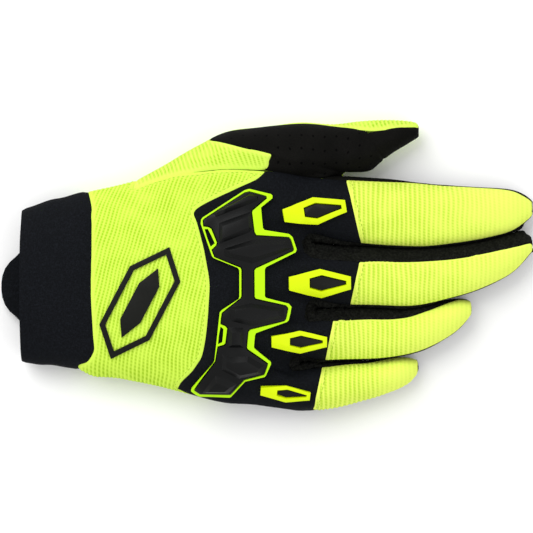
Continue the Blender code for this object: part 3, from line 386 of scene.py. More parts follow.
def write_values(mesh, name, values):
    """Keeps a value for each point of a mesh, for its material to read."""
    stored = mesh.attributes.new(name, "FLOAT", "POINT")
    stored.data.foreach_set("value", np.asarray(values, dtype=np.float32))


LOWEST = 0.00005  # how near the table cloth may lie


def raise_sheet(piece, height):
    """Moves each point of a sheet off it by a height that is given for each, but never into the table,
    and lets the sheet's edge reach a little under its neighbour's, so that the seam is closed."""
    mesh = piece.data
    points = coordinates(mesh) + coordinates(mesh, "normal") * np.asarray(height)[:, None]
    edge = set(border_points(mesh))
    inner = {}
    for line in mesh.edges:
        for here, there in (line.vertices, reversed(line.vertices)):
            if here in edge and there not in edge:
                inner.setdefault(here, []).append(there)
    for here, others in inner.items():
        away = points[here] - points[others].mean(axis=0)
        points[here] += away * (SEAM_REACH / max(np.linalg.norm(away), SEAM_REACH))
    points[:, 2] = np.maximum(points[:, 2], LOWEST)
    place_points(mesh, points)


def thicken(piece, wall, material, slot, *nodes):
    """Turns a sheet into a wall, inwards, and puts it in the place of its CAD nodes."""
    solidify = piece.modifiers.new("wall", "SOLIDIFY")
    solidify.thickness = wall
    solidify.offset = -1.0
    solidify.use_even_offset = False
    walled = shown_mesh(piece)
    points = coordinates(walled)
    points[:, 2] = np.maximum(points[:, 2], LOWEST)
    place_points(walled, points)
    sheet_mesh = piece.data
    piece.modifiers.clear()
    piece.data = walled
    bpy.data.meshes.remove(sheet_mesh)
    finish_piece(piece, material, slot, *nodes)


SHARP = math.radians(52)  # folds up to this are shaded round


def finish_piece(piece, material, slot, *nodes):
    """Gives a piece its shading and material, and puts it in the place of its CAD nodes. Its slot is not
    used.
    """
    piece.data.shade_smooth()
    piece.data.set_sharp_from_angle(angle=SHARP)
    piece.data.materials.clear()
    piece.data.materials.append(material)
    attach(piece, "root")
    if nodes:
        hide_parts(*nodes)


BACK_PITCH = 0.0018  # from rib to rib
RIB_HEIGHT = 0.00016  # half of what a rib stands over the furrow beside it
RIB_WANDER = 0.0006  # how far a rib strays from its line
RIB_STARTS = 0.0004  # ribs start this far inside a sewn edge
RIB_FULL = 0.0030  # and stand at their full height from here
COURSE_PITCH = 0.0013  # from one row of stitches to the next along a rib, drawn twice as coarse as real
FLUFF_SCALE = 2600.0  # tufts of yarn of 0.4 mm, drawn four times as coarse as real
FURROW_SHADE = 0.55  # painted shade: how far a furrow's colour goes towards the knit's second colour
PIT_SHADE = 0.60  # and how much further the painted shade goes in a pit between two stitches
FLUFF_SHADE = 0.16
# painted light: an even emission for the fluorescent dye, which brightens the knit's shade too
PAINTED_DYE_GLOW = 0.05


def polyamide_rib_knit(name, rib_colour, furrow_shade_colour, pitch):
    """Polyamide and elastane rib knit, fluorescent dyed: matt yarn, with painted shade in the furrows and
    more in a pit in each stitch.
    The dye turns ultraviolet into visible light, which a faint even emission stands for: painted light that
    also brightens the shaded parts."""
    made, tree, shader = new_material(name)
    across = add(tree, "Attribute", attribute_name="across").outputs["Fac"]
    along = add(tree, "Attribute", attribute_name="along").outputs["Fac"]
    fade = add(tree, "Attribute", attribute_name="rib_fade").outputs["Fac"]
    turn = add(tree, "Math", {0: across, 1: 2 * math.pi / pitch}, operation="MULTIPLY").outputs[0]
    wave = add(tree, "Math", {0: turn}, operation="SINE").outputs[0]
    ridge = add(tree, "Math", {0: wave, 1: 0.5, 2: 0.5}, operation="MULTIPLY_ADD").outputs[0]
    slant = add(tree, "Math", {0: turn, 1: 0.5}, operation="MULTIPLY").outputs[0]
    course = add(tree, "Math", {0: along, 1: 2 * math.pi / COURSE_PITCH, 2: slant}, operation="MULTIPLY_ADD")
    beat = add(tree, "Math", {0: course.outputs[0]}, operation="SINE").outputs[0]
    pit = add(tree, "Math", {0: beat, 1: 0.5, 2: 0.5}, operation="MULTIPLY_ADD").outputs[0]
    furrow = add(tree, "Math", {0: 1.0, 1: ridge}, operation="SUBTRACT").outputs[0]
    deep = add(tree, "Math", {0: pit, 1: furrow}, operation="MULTIPLY").outputs[0]
    half = add(tree, "Math", {0: furrow, 1: FURROW_SHADE}, operation="MULTIPLY").outputs[0]
    shade = add(tree, "Math", {0: deep, 1: PIT_SHADE, 2: half}, operation="MULTIPLY_ADD").outputs[0]
    faded = add(tree, "Math", {0: shade, 1: fade}, operation="MULTIPLY").outputs[0]
    yarn = add(tree, "TexNoise", {"Scale": FLUFF_SCALE, "Detail": 2.0}).outputs["Fac"]
    fluff = add(tree, "Math", {0: yarn, 1: FLUFF_SHADE, 2: faded}, operation="MULTIPLY_ADD").outputs[0]
    colour = add(
        tree, "Mix", {"Factor": fluff, 6: srgb(rib_colour), 7: srgb(furrow_shade_colour)}, data_type="RGBA"
    ).outputs[2]
    level = add(tree, "Math", {0: faded, 1: -1.0, 2: yarn}, operation="MULTIPLY_ADD").outputs[0]
    relief = add(tree, "Bump", {"Strength": 0.35, "Distance": 0.0002, "Height": level}).outputs[0]
    tree.links.new(colour, shader.inputs["Base Color"])
    tree.links.new(colour, shader.inputs["Emission Color"])
    tree.links.new(relief, shader.inputs["Normal"])
    shader.inputs["Emission Strength"].default_value = PAINTED_DYE_GLOW
    shader.inputs["Roughness"].default_value = 0.85
    shader.inputs["Specular IOR Level"].default_value = 0.12
    return made


RIB_MEAN = 0.85  # the ribs' mean height, and how much more or less they stand in patches
RIB_PATCHES = 0.45


def ribs(piece, across, along, fade, pitch, height, relief):
    """Raises a sheet in ribs and keeps, for its material, where each point lies across and along them."""
    mesh = piece.data
    points = coordinates(mesh)
    across = across + RIB_WANDER * waves(points, length=0.011, seed=11)
    fade = fade * (RIB_MEAN + RIB_PATCHES * waves(points, length=0.007, seed=12))
    write_values(mesh, "across", across)
    write_values(mesh, "along", along)
    write_values(mesh, "rib_fade", fade)
    raise_sheet(piece, height * np.sin(2 * np.pi * across / pitch) * fade + relief)


# each knit's second colour is the painted shade of its furrows and pits
back_knit = polyamide_rib_knit("polyamide_rib_knit_back", "#d8f95a", "#a2cb26", BACK_PITCH)
BACK_RIB = 0.85 * RIB_HEIGHT
BACK_WAVE = 0.00030
COURSE_DROP = 0.3  # how much the rows of stitches run on as the back rolls down over its sides
back = rounded_sheet("knit_back_of_hand", outer_skin("back_panel"), level=3)
divide_across(back, Vector((1, 0, 0)), cuts=2)
spots = coordinates(back.data)
LEAN_LOW = 0.07  # how far the ribs lean forward, as a slope, at the little finger's side
LEAN_HIGH = 0.40  # and at the thumb's side
back_low, back_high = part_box("back_panel")
rise = spots[:, 1] - back_low.y
lean = LEAN_LOW * rise + (LEAN_HIGH - LEAN_LOW) * rise**2 / (2 * (back_high.y - back_low.y))
inset = edge_distances(back.data, spots)
ribs(
    back, spots[:, 0] - lean, spots[:, 1] - COURSE_DROP * spots[:, 2],
    smooth_step(RIB_STARTS, RIB_FULL, inset), BACK_PITCH, BACK_RIB,
    sewn_edge(inset) + stitch_groove(inset) + BACK_WAVE * waves(spots, length=0.022, seed=1),
)
KNIT_WALL = 0.0010


def kept_for_sewing(sheet_mesh):
    """A sheet's points and faces as they are before it gets its thickness."""
    return [v.co.copy() for v in sheet_mesh.vertices], sheet_mesh.copy()


seams = {"back": kept_for_sewing(back.data)}
thicken(back, KNIT_WALL, back_knit, "neon_knit", "back_panel")


# The thumb's knitted gusset
# A curved panel of the same rib knit round the outer side of the thumb and under it, with its ribs
# square to the seam that joins it to the back.

GUSSET_PITCH = 0.0019
GUSSET_RIB = 0.8 * RIB_HEIGHT
GUSSET_LEAN = 0.35  # how far its ribs lean, as a slope
GUSSET_WAVE = 0.00035
gusset_knit = polyamide_rib_knit("polyamide_rib_knit_gusset", "#daf960", "#a2cb28", GUSSET_PITCH)
gusset = rounded_sheet("knit_thumb_gusset", outer_skin("thumb_back"), level=3)
divide_across(gusset, Vector((1, 0, 0)), cuts=2)
spots = coordinates(gusset.data)
inset = edge_distances(gusset.data, spots)
ribs(
    gusset, spots[:, 0] + GUSSET_LEAN * spots[:, 1], spots[:, 1] + spots[:, 2],
    smooth_step(RIB_STARTS, RIB_FULL, inset), GUSSET_PITCH, GUSSET_RIB,
    sewn_edge(inset) + GUSSET_WAVE * waves(spots, length=0.018, seed=2),
)
thicken(gusset, KNIT_WALL, gusset_knit, "neon_knit", "thumb_back")


# The knitted backs of the fingers
# Four panels of rib knit with their ribs across the finger, coarse at the knuckle, where the cloth is
# slack, and stretched nearly smooth towards the tip.

FINGERS = ("index", "middle", "ring", "little")
FINGER_PITCH = 0.0021
FINGER_WAVE = 0.00025
SLACK_AT_ROOT = 1.25  # the ribs' height at the knuckle, as a share of RIB_HEIGHT
SLACK_LOST = 1.0  # and how much of it is gone at the tip
TIGHTENS = (0.25, 0.95)  # between these shares of the finger's length
FINGER_RIB_STARTS = 0.0002
FINGER_RIB_FULL = 0.0012
FINGER_HEM = 0.8  # the finger's edges sink in by this share of HEM_DEPTH
STITCHED_SHARE = 0.2  # only this much of the finger's length lies near the knuckle seam
finger_knit = polyamide_rib_knit("polyamide_rib_knit_finger", "#ecfc6b", "#bcdd3e", FINGER_PITCH)
for finger in FINGERS:
    cover = rounded_sheet("knit_back_of_" + finger, outer_skin("finger_back_" + finger), level=3)
    divide_across(cover, Vector((1, 0, 0)), cuts=2)
    spots = coordinates(cover.data)
    inset = edge_distances(cover.data, spots)
    low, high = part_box("finger_back_" + finger)
    share = (spots[:, 0] - low.x) / (high.x - low.x)
    slack = SLACK_AT_ROOT - SLACK_LOST * smooth_step(*TIGHTENS, share)
    groove = stitch_groove(inset) * (share < STITCHED_SHARE)
    ribs(
        cover, spots[:, 0], spots[:, 1],
        smooth_step(FINGER_RIB_STARTS, FINGER_RIB_FULL, inset) * slack, FINGER_PITCH, RIB_HEIGHT,
        FINGER_HEM * sewn_edge(inset) + groove + FINGER_WAVE * waves(spots, length=0.016, seed=3),
    )
    seams[finger] = kept_for_sewing(cover.data)
    thicken(cover, KNIT_WALL, finger_knit, "neon_knit", "finger_back_" + finger)


# The stretch panel over the knuckles
# Dense four-way stretch weave in bluish black, slightly padded. It is sewn to the back and to the four
# finger backs, and carries the moulded guards.


def polyester_stretch_weave(name, colour, thread_colour, thread, relief, roughness):
    """Polyester and elastane weave: matt, with a fine even thread that only shows close up."""
    made, tree, shader = new_material(name)
    place = add(tree, "TexCoord").outputs["Object"]
    cells = add(tree, "TexVoronoi", {"Vector": place, "Scale": 1 / thread}).outputs["Distance"]
    fluff = add(tree, "TexNoise", {"Vector": place, "Scale": 0.5 / thread, "Detail": 3.0}).outputs["Fac"]
    both = add(tree, "Math", {0: cells, 1: fluff}, operation="MULTIPLY").outputs[0]
    mixed = add(
        tree, "Mix", {"Factor": both, 6: srgb(colour), 7: srgb(thread_colour)}, data_type="RGBA"
    ).outputs[2]
    bump = add(tree, "Bump", {"Strength": relief, "Distance": 0.0002, "Height": cells}).outputs[0]
    tree.links.new(mixed, shader.inputs["Base Color"])
    tree.links.new(bump, shader.inputs["Normal"])
    shader.inputs["Roughness"].default_value = roughness
    shader.inputs["Specular IOR Level"].default_value = 0.06
    return made


STRETCH_THREAD = 0.0005  # twice as coarse as the real threads, so that they show
KNUCKLE_WALL = 0.0011
KNUCKLE_WAVE = 0.00025
stretch = polyester_stretch_weave(
    "polyester_stretch_weave", "#08090b", "#1e2127", STRETCH_THREAD, relief=0.35, roughness=0.8
)
knuckles = rounded_sheet("stretch_knuckle_panel", outer_skin("knuckle_panel"), level=3)
spots = coordinates(knuckles.data)
inset = edge_distances(knuckles.data, spots)
raise_sheet(knuckles, sewn_edge(inset) + KNUCKLE_WAVE * waves(spots, length=0.014, seed=4))
thicken(knuckles, KNUCKLE_WALL, stretch, "black_stretch", "knuckle_panel")


# The sides of the fingers
# One strip of black warp-knitted mesh for each gap between two fingers, sewn to both. It is gathered, most
# of all at the crotch, and its two sides touch where the fingers lie close.

MESH_HOLE = 0.0009  # from hole to hole
# Warp-knitted mesh: matt threads round deep holes, painted near black for the shade in them, so it looks
# blacker than the weave, and speckled
mesh_cloth = polyester_stretch_weave(
    "polyester_warp_mesh", "#010101", "#2c2d29", MESH_HOLE, relief=1.0, roughness=0.85
)
MESH_WALL = 0.0008
GATHER_PITCH = 0.0032
GATHER_DEPTH = 0.00022
GATHERS_LOST = 0.7  # the share of their depth that the gathers lose towards the tip
GATHERS_OPEN = (0.1, 0.7)  # between these shares of the strip's length
CRINKLE = 0.00080  # the small curls of the cloth at the crotch
CRINKLE_ENDS = (0.12, 0.30)
MESH_HEM = 0.6  # the strip's edges sink in by this share of HEM_DEPTH
PRESS_STARTS = 0.0020  # this far inside its edges the strip is free to be pressed together
FULL_CONTACT = 0.0040  # two walls of a gap no wider than this press together
NO_CONTACT = 0.0085  # and two that are this far apart are left alone
FACES_SIDEWAYS = 0.4  # a point's normal has to be this long as seen from above
OFF_SHEET = 1e-4
EVEN_ROUNDS = 6


def half_gaps(mesh):
    """How far each point has to move off its sheet to meet the sheet's facing wall."""
    own = BVHTree.FromPolygons([v.co for v in mesh.vertices], [p.vertices for p in mesh.polygons])
    moves = np.zeros(len(mesh.vertices))
    for vertex in mesh.vertices:
        sideways = Vector((vertex.normal.x, vertex.normal.y, 0.0))
        if sideways.length < FACES_SIDEWAYS:
            continue
        start = vertex.co + vertex.normal * OFF_SHEET
        gap = own.ray_cast(start, sideways.normalized(), NO_CONTACT)[3]
        if gap:
            moves[vertex.index] = gap / 2 * (1 - smooth_step(FULL_CONTACT, NO_CONTACT, gap))
    return moves


def evened(mesh, values, rounds):
    """The values at a mesh's points, each averaged with its neighbours' a number of times."""
    pairs = np.array([e.vertices[:] for e in mesh.edges])
    count = np.bincount(pairs.ravel(), minlength=len(values)) + 1
    for _ in range(rounds):
        total = values.copy()
        np.add.at(total, pairs[:, 0], values[pairs[:, 1]])
        np.add.at(total, pairs[:, 1], values[pairs[:, 0]])
        values = total / count
    return values


for number in (1, 2, 3):
    side = rounded_sheet("mesh_side_%d" % number, outer_skin("fourchette_%d" % number), level=3)
    spots = coordinates(side.data)
    inset = edge_distances(side.data, spots)
    low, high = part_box("fourchette_%d" % number)
    share = (spots[:, 0] - low.x) / (high.x - low.x)
    gather = np.sin(2 * np.pi * spots[:, 0] / GATHER_PITCH + 2.0 * waves(spots, length=0.008, seed=5))
    depth_of_gather = GATHER_DEPTH * (1 - GATHERS_LOST * smooth_step(*GATHERS_OPEN, share))
    depth_of_gather *= smooth_step(RIB_STARTS, RIB_FULL, inset)
    crinkle = CRINKLE * waves(spots, length=0.0020, seed=13) * (1 - smooth_step(*CRINKLE_ENDS, share))
    press = evened(side.data, half_gaps(side.data), EVEN_ROUNDS) * smooth_step(0.0, PRESS_STARTS, inset)
    raise_sheet(side, MESH_HEM * sewn_edge(inset) + depth_of_gather * (gather - 1) + crinkle + press)
    thicken(side, MESH_WALL, mesh_cloth, "black_mesh", "fourchette_%d" % number)


# The palm and the thumb's inner side
# Synthetic suede, soft and nearly without gloss. The palm also makes the soles of the fingers and rolls
# over the little edge that shows beside the index finger. The thumb's suede is punched with vent holes.

HOLE_PITCH = 0.0052
HOLE_RADIUS = 0.00050
HOLE_RIM = (0.8 * HOLE_RADIUS, 1.15 * HOLE_RADIUS)  # the cloth rises from a hole between these radii
CLOUD_SCALE = 90.0  # stroked patches of the nap, 11 mm wide
NAP_SCALE = 1800.0  # tufts of 0.6 mm, drawn four times as coarse as real


def microfibre_suede(name, colour, nap_colour, holes):
    """Polyamide microfibre suede: a short nap that lightens in cloudy patches, and round punched holes,
    painted near black for the shade inside them.
    """
    made, tree, shader = new_material(name)
    place = add(tree, "TexCoord").outputs["Object"]
    clouds = add(tree, "TexNoise", {"Vector": place, "Scale": CLOUD_SCALE, "Detail": 5.0}).outputs["Fac"]
    nap = add(tree, "TexNoise", {"Vector": place, "Scale": NAP_SCALE, "Detail": 2.0}).outputs["Fac"]
    tone = add(tree, "Math", {0: clouds, 1: nap}, operation="MULTIPLY").outputs[0]
    colour_out = add(
        tree, "Mix", {"Factor": tone, 6: srgb(colour), 7: srgb(nap_colour)}, data_type="RGBA"
    ).outputs[2]
    height = nap
    if holes:
        squares = []
        for direction in ("across", "along"):
            reach = add(tree, "Attribute", attribute_name=direction).outputs["Fac"]
            away = add(tree, "Math", {0: reach, 1: HOLE_PITCH / 2}, operation="PINGPONG").outputs[0]
            squares.append(add(tree, "Math", {0: away, 1: 2.0}, operation="POWER").outputs[0])
        spread = add(tree, "Math", {0: squares[0], 1: squares[1]}, operation="ADD").outputs[0]
        radius = add(tree, "Math", {0: spread, 1: 0.5}, operation="POWER").outputs[0]
        solid_part = add(
            tree, "MapRange", {0: radius, 1: HOLE_RIM[0], 2: HOLE_RIM[1], 3: 0.0, 4: 1.0}
        ).outputs[0]
        area = add(tree, "Attribute", attribute_name="punched").outputs["Fac"]
        unpunched = add(tree, "Math", {0: 1.0, 1: area}, operation="SUBTRACT").outputs[0]
        cloth = add(tree, "Math", {0: solid_part, 1: unpunched}, operation="MAXIMUM").outputs[0]
        # painted shade: the holes are coloured near black for the dark inside of the glove
        colour_out = add(
            tree, "Mix", {"Factor": cloth, 6: srgb("#020202"), 7: colour_out}, data_type="RGBA"
        ).outputs[2]
        height = add(tree, "Math", {0: cloth, 1: 4.0, 2: nap}, operation="MULTIPLY_ADD").outputs[0]
    bump = add(tree, "Bump", {"Strength": 0.5, "Distance": 0.0001, "Height": height}).outputs[0]
    tree.links.new(colour_out, shader.inputs["Base Color"])
    tree.links.new(bump, shader.inputs["Normal"])
    shader.inputs["Roughness"].default_value = 0.9
    shader.inputs["Specular IOR Level"].default_value = 0.06
    return made


SUEDE_WALL = 0.0009
PALM_WAVE = 0.00030
LIES_FLAT = 0.0015  # cloth higher than this is free to wave, and the cloth on the table is flat
palm_suede = microfibre_suede("microfibre_suede_palm", "#070706", "#1c1c19", holes=False)
palm = rounded_sheet("suede_palm", outer_skin("palm"), level=2)
spots = coordinates(palm.data)
inset = edge_distances(palm.data, spots)
off_table = smooth_step(0.0, LIES_FLAT, spots[:, 2])
raise_sheet(palm, (sewn_edge(inset) + PALM_WAVE * waves(spots, length=0.017, seed=6)) * off_table)
thicken(palm, SUEDE_WALL, palm_suede, "black_suede", "palm")

thumb_points = np.vstack([coordinates(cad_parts[n].data) for n in ("thumb_back", "thumb_palm")])
THUMB_RADIUS = 0.010
THUMB_STATIONS = np.arange(-0.030, 0.072, 0.003)  # along the glove, where the thumb's middle is found
STATION_REACH = 0.005


def round_the_thumb(points):
    """How far each point lies round the thumb, in metres, for holes that stay round on its side."""
    middles = []
    for x in THUMB_STATIONS:
        here = thumb_points[np.abs(thumb_points[:, 0] - x) < STATION_REACH]
        middles.append((here.min(axis=0) + here.max(axis=0)) / 2)
    middles = np.array(middles)
    mid_y = np.interp(points[:, 0], THUMB_STATIONS, middles[:, 1])
    mid_z = np.interp(points[:, 0], THUMB_STATIONS, middles[:, 2])
    return np.arctan2(points[:, 2] - mid_z, points[:, 1] - mid_y) * THUMB_RADIUS


thumb_suede = microfibre_suede("microfibre_suede_thumb", "#070706", "#1d1c1a", holes=True)
THUMB_WAVE = 0.00035
HOLES_START = (0.0020, 0.0026)  # no hole is nearer the suede's edge than this
PLAIN_EDGE = 0.001  # and no crease nearer than this
CREASE_HEIGHT = 0.00035
CREASE_LENGTH = 0.0011  # of a crease's wave, divided by two pi
CREASES_START = 0.048  # creases lie between the thumb and the index finger, below this y
CREASES_FULL = 0.043
THUMB_CROWDED = 0.0024  # the tip's points lie closer together than those of the other panels
THUMB_PIECES = (  # node, piece, whether it is punched, how close its crowded points lie
    ("thumb_palm", "suede_thumb", 1.0, CROWDED),
    ("thumb_tip", "suede_thumb_tip", 0.0, THUMB_CROWDED),
)
for node_name, piece_name, punched, crowded in THUMB_PIECES:
    inner = rounded_sheet(piece_name, outer_skin(node_name, crowded), level=3)
    spots = coordinates(inner.data)
    write_values(inner.data, "across", spots[:, 0])
    write_values(inner.data, "along", round_the_thumb(spots))
    inset = edge_distances(inner.data, spots)
    write_values(inner.data, "punched", punched * smooth_step(*HOLES_START, inset))
    creases = CREASE_HEIGHT * np.sin(spots[:, 1] / CREASE_LENGTH + 2 * waves(spots, length=0.012, seed=7))
    creases *= smooth_step(CREASES_START, CREASES_FULL, spots[:, 1]) * (inset > PLAIN_EDGE)
    raise_sheet(inner, sewn_edge(inset) + THUMB_WAVE * waves(spots, length=0.015, seed=8) + creases)
    thicken(inner, SUEDE_WALL, thumb_suede, "black_suede", node_name)


# The cuff and its pull tab
# Fabric-faced neoprene, thick and soft, with a few cross folds where the wrist bends. The tab is two
# layers of the same, sewn inside the palm side of the mouth.

FACING_THREAD = 0.0006  # twice as coarse as the real threads
CUFF_WALL = 0.0020
FOLD_HEIGHT = 0.0009
DENT_HEIGHT = 0.0003
FOLD_STRETCH = np.array([2.2, 0.8, 1.0])  # folds run across the wrist, so they change faster along x
# Neoprene foam faced with polyester jersey: matt, and a little coarser to the eye than the weave
neoprene = polyester_stretch_weave(
    "polyester_faced_neoprene", "#08090b", "#1d2026", FACING_THREAD, relief=0.4, roughness=0.8
)
cuff = rounded_sheet("neoprene_cuff", outer_skin("cuff"), level=3)
spots = coordinates(cuff.data)
inset = edge_distances(cuff.data, spots)
off_table = smooth_step(0.0, LIES_FLAT, spots[:, 2])
folds = FOLD_HEIGHT * waves(spots * FOLD_STRETCH, length=0.020, seed=9)
folds += DENT_HEIGHT * waves(spots, length=0.009, seed=10)
raise_sheet(cuff, (sewn_edge(inset) + folds) * off_table)
thicken(cuff, CUFF_WALL, neoprene, "black_neoprene", "cuff")

FLAT = math.radians(6)  # triangles that fold less than this lie on one facet
ANY_SKEW = math.radians(80)
BEVEL_STEPS = 3


def moulded(name, node_name, material, slot, edge_radius, angle, draw_in=0.0):
    """A hard-edged CAD piece with its edges rounded as a mould leaves them. draw_in makes it thinner on all
    sides."""
    work = welded(node_name)
    bmesh.ops.join_triangles(
        work, faces=work.faces[:], angle_face_threshold=FLAT, angle_shape_threshold=ANY_SKEW
    )
    work.normal_update()
    for vertex in work.verts:
        vertex.co -= vertex.normal * draw_in
    mesh = bpy.data.meshes.new(name)
    work.to_mesh(mesh)
    work.free()
    piece = bpy.data.objects.new(name, mesh)
    bpy.context.scene.collection.objects.link(piece)
    bevel = piece.modifiers.new("edge", "BEVEL")
    bevel.width = edge_radius
    bevel.segments = BEVEL_STEPS
    bevel.limit_method = "ANGLE"
    bevel.angle_limit = math.radians(angle)
    shaped = shown_mesh(piece)
    piece.modifiers.clear()
    piece.data = shaped
    bpy.data.meshes.remove(mesh)
    finish_piece(piece, material, slot, node_name)


moulded("neoprene_pull_tab", "pull_tab", neoprene, "black_neoprene", edge_radius=0.0007, angle=40)


# The moulded guard over the knuckles
# Thermoplastic rubber moulded in one shot with raised facets, bonded to the stretch panel, with a thin
# fluorescent rim of the same rubber cast round it.

GRAIN_SCALE = 2500.0  # grains of 0.4 mm, drawn five times as coarse as real
PATCH_SCALE = 60.0  # slow unevenness of the pigment, 17 mm wide
PATCH_LIGHTER = 1.25
# painted light: an even emission for the fluorescent rubber, which brightens its shade too
PAINTED_RIM_GLOW = 0.05


def moulded_rubber(name, colour, roughness, painted_glow):
    """Thermoplastic rubber: satin, with a very fine spark-eroded grain from the mould; an emission is
    painted light.
    """
    made, tree, shader = new_material(name)
    place = add(tree, "TexCoord").outputs["Object"]
    grain = add(tree, "TexNoise", {"Vector": place, "Scale": GRAIN_SCALE, "Detail": 3.0}).outputs["Fac"]
    patch = add(tree, "TexNoise", {"Vector": place, "Scale": PATCH_SCALE, "Detail": 2.0}).outputs["Fac"]
    base = srgb(colour)
    light = [min(1.0, c * PATCH_LIGHTER) for c in base[:3]] + [1.0]
    tone = add(tree, "Mix", {"Factor": patch, 6: base, 7: light}, data_type="RGBA").outputs[2]
    bump = add(tree, "Bump", {"Strength": 0.25, "Distance": 0.00008, "Height": grain}).outputs[0]
    tree.links.new(tone, shader.inputs["Base Color"])
    tree.links.new(bump, shader.inputs["Normal"])
    if painted_glow:
        tree.links.new(tone, shader.inputs["Emission Color"])
    shader.inputs["Emission Strength"].default_value = painted_glow
    shader.inputs["Roughness"].default_value = roughness
    shader.inputs["Specular IOR Level"].default_value = 0.18
    return made


black_rubber = moulded_rubber("thermoplastic_rubber_black", "#070808", roughness=0.36, painted_glow=0.0)
neon_rim = moulded_rubber("thermoplastic_rubber_lime", "#b0e800", roughness=0.45, painted_glow=PAINTED_RIM_GLOW)
moulded(
    "rubber_knuckle_guard", "knuckle_guard", black_rubber, "black_rubber",
    edge_radius=0.00030, angle=20,
)
moulded(
    "rubber_guard_rim", "guard_trim", neon_rim, "neon_rubber",
    edge_radius=0.00025, angle=40, draw_in=0.00030,
)


# The finger guards
# A six-sided frame of fluorescent rubber on each finger's knuckle, with a charcoal insert of the same
# rubber that lies a little lower. Both are moulded, and bonded to the stretch panel.

neon_frame = moulded_rubber("thermoplastic_rubber_yellow", "#cbe200", roughness=0.45, painted_glow=PAINTED_RIM_GLOW)
insert_rubber = moulded_rubber("thermoplastic_rubber_charcoal", "#0c0c09", roughness=0.40, painted_glow=0.0)
for finger in FINGERS:
    moulded(
        "rubber_frame_" + finger, "finger_guard_" + finger, neon_frame, "neon_rubber",
        edge_radius=0.00035, angle=40,
    )
    moulded(
        "rubber_insert_" + finger, "guard_insert_" + finger, insert_rubber, "black_rubber",
        edge_radius=0.00025, angle=40,
    )


# The seam stitching
# Doubled polyester thread in lockstitch beside the seams of the back and of the fingers, each stitch
# pulled a little into the cloth.

SEAM_GAP = 0.0016  # a border this near another panel is sewn to it
STITCH = 0.0015
STITCH_STEP = 0.0022
FIRST_STITCH = 0.0004
THREAD_RADIUS = 0.00016
THREAD_SINKS = 0.00010
BOW_HEIGHT = 0.00016  # how far the middle of a stitch stands up
THREAD_ENDS = 0.55  # how thin a stitch is at its ends, as a share
STITCH_SIDES = 6
STITCH_PARTS = 4
LOOK_ALONG = 3  # a seam's direction is taken from this many points on either side
CORNER_CUT = 0.7  # where a line comes nearer the border than this share of STITCH_INSET, it is left out


def border_rings(mesh):
    """The border of a sheet as closed rings of its points' numbers."""
    following = {}
    for a, b in border_edges(mesh):
        following.setdefault(a, []).append(b)
        following.setdefault(b, []).append(a)
    left = set(following)
    while left:
        ring = [min(left)]
        left.discard(ring[0])
        while True:
            onward = sorted(n for n in following[ring[-1]] if n in left)
            if not onward:
                break
            ring.append(onward[0])
            left.discard(onward[0])
        yield ring


def seam_line(points, mesh, partner):
    """A line STITCH_INSET inside a sheet, beside the longest stretch of its border that runs along another
    node, and the sheet as a search tree."""
    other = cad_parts[partner].data
    wall = BVHTree.FromPolygons([v.co for v in other.vertices], [p.vertices for p in other.polygons])
    best = []
    for ring in border_rings(mesh):
        close = [wall.find_nearest(points[n], SEAM_GAP)[0] is not None for n in ring]
        if all(close):
            best = ring
            continue
        start = close.index(False)
        run = []
        for k in range(1, len(ring) + 1):
            here = (start + k) % len(ring)
            if close[here]:
                run.append(ring[here])
                continue
            if len(run) > len(best):
                best = run
            run = []
    line = [points[n] for n in best]
    surface = BVHTree.FromPolygons(points, [p.vertices for p in mesh.polygons])
    sewn = []
    for k in range(len(line)):
        before = line[max(k - LOOK_ALONG, 0)]
        after = line[min(k + LOOK_ALONG, len(line) - 1)]
        along = (after - before).normalized()
        normal = surface.find_nearest(line[k])[1]
        inward = along.cross(normal)
        guess = surface.find_nearest(line[k] + inward * STITCH_INSET)[0]
        other_guess = surface.find_nearest(line[k] - inward * STITCH_INSET)[0]
        if (other_guess - line[k]).length > (guess - line[k]).length:
            guess = other_guess
        if (guess - line[k]).length > CORNER_CUT * STITCH_INSET:
            sewn.append(guess)
    return sewn, surface


def sew(work, line, surface):
    """Adds a row of stitches along a line on a surface, each a short bowed thread with its ends sunk."""
    lengths = [0.0]
    for k in range(1, len(line)):
        lengths.append(lengths[-1] + (line[k] - line[k - 1]).length)

    def at(distance):
        k = min(max(int(np.searchsorted(lengths, distance)), 1), len(line) - 1)
        span = max(lengths[k] - lengths[k - 1], 1e-9)
        return line[k - 1].lerp(line[k], (distance - lengths[k - 1]) / span)

    for number in range(int((lengths[-1] - STITCH) / STITCH_STEP)):
        start = number * STITCH_STEP + FIRST_STITCH
        rings = []
        for part in range(STITCH_PARTS + 1):
            share = part / STITCH_PARTS
            place, normal = surface.find_nearest(at(start + share * STITCH))[:2]
            ahead = (at(start + STITCH) - at(start)).normalized()
            side = normal.cross(ahead).normalized()
            bow = math.sin(math.pi * share)
            centre = place + normal * (BOW_HEIGHT * bow - THREAD_SINKS)
            radius = THREAD_RADIUS * (THREAD_ENDS + (1 - THREAD_ENDS) * bow)
            ring = []
            for corner in range(STITCH_SIDES):
                turn = 2 * math.pi * corner / STITCH_SIDES
                ring.append(work.verts.new(
                    centre + side * radius * math.cos(turn) + normal * radius * math.sin(turn)
                ))
            rings.append(ring)
        for first, second in zip(rings, rings[1:]):
            for corner in range(STITCH_SIDES):
                onward = (corner + 1) % STITCH_SIDES
                work.faces.new((first[corner], first[onward], second[onward], second[corner]))
        work.faces.new(rings[0][::-1])
        work.faces.new(rings[-1])


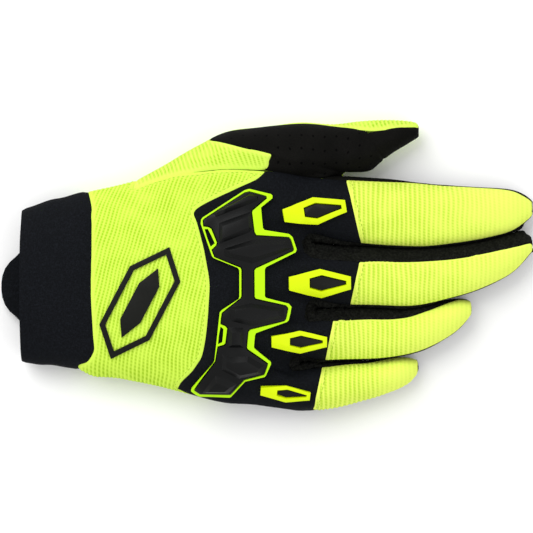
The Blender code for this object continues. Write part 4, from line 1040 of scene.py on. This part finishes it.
def stitched(name, rows, material, slot):
    """All the stitching of one panel, as one piece. A row is the panel's points, its sheet, and the node
    that it is sewn to."""
    work = bmesh.new()
    for points, mesh, partner in rows:
        line, surface = seam_line(points, mesh, partner)
        if len(line) > LOOK_ALONG:
            sew(work, line, surface)
    bmesh.ops.recalc_face_normals(work, faces=work.faces[:])
    mesh = bpy.data.meshes.new(name)
    work.to_mesh(mesh)
    work.free()
    piece = bpy.data.objects.new(name, mesh)
    bpy.context.scene.collection.objects.link(piece)
    finish_piece(piece, material, slot)


PLY_SCALE = 900.0  # plies of 0.7 mm, drawn twice as coarse as real


def polyester_thread(name, colour, ply_shade_colour):
    """Twisted polyester sewing thread: a faint gloss on diagonal plies, with painted shade between them."""
    made, tree, shader = new_material(name)
    place = add(tree, "TexCoord").outputs["Object"]
    plies = add(
        tree, "TexWave", {"Vector": place, "Scale": PLY_SCALE, "Distortion": 1.0},
        bands_direction="DIAGONAL",
    ).outputs["Fac"]
    tone = add(tree, "Mix", {"Factor": plies, 6: srgb(ply_shade_colour), 7: srgb(colour)}, data_type="RGBA")
    bump = add(tree, "Bump", {"Strength": 0.4, "Distance": 0.00005, "Height": plies}).outputs[0]
    tree.links.new(tone.outputs[2], shader.inputs["Base Color"])
    tree.links.new(bump, shader.inputs["Normal"])
    shader.inputs["Roughness"].default_value = 0.6
    shader.inputs["Specular IOR Level"].default_value = 0.3
    return made


# the second colour is the painted shade between the plies
yellow_thread = polyester_thread("polyester_thread_yellow", "#b9d93a", "#7f9c16")
back_rows = [(*seams["back"], "knuckle_panel"), (*seams["back"], "thumb_back")]
stitched("stitching_of_back", back_rows, yellow_thread, "neon_knit")
for finger in FINGERS:
    stitched("stitching_of_" + finger, [(*seams[finger], "knuckle_panel")], yellow_thread, "neon_knit")


# The printed motif on the back
# A plain six-sided outline round a solid bar, screen printed in thick black silicone ink, which stands up
# from the knit and follows it.

INK_GRAIN_SCALE = 900.0  # specks of 1.1 mm, as coarse as the knit under the ink


def silicone_print(name, colour, speck_colour):
    """Silicone ink, printed thick: satin black, with the ribs under it showing through a little."""
    made, tree, shader = new_material(name)
    place = add(tree, "TexCoord").outputs["Object"]
    grain = add(tree, "TexNoise", {"Vector": place, "Scale": INK_GRAIN_SCALE, "Detail": 3.0}).outputs["Fac"]
    tone = add(tree, "Mix", {"Factor": grain, 6: srgb(colour), 7: srgb(speck_colour)}, data_type="RGBA")
    bump = add(tree, "Bump", {"Strength": 0.3, "Distance": 0.0001, "Height": grain}).outputs[0]
    tree.links.new(tone.outputs[2], shader.inputs["Base Color"])
    tree.links.new(bump, shader.inputs["Normal"])
    shader.inputs["Roughness"].default_value = 0.55
    shader.inputs["Specular IOR Level"].default_value = 0.15
    return made


ink = silicone_print("silicone_print", "#0a0b08", "#151612")
for node_name, piece_name in (("motif_ring", "print_outline"), ("motif_bar", "print_bar")):
    moulded(piece_name, node_name, ink, "black_print", edge_radius=0.00012, angle=50)
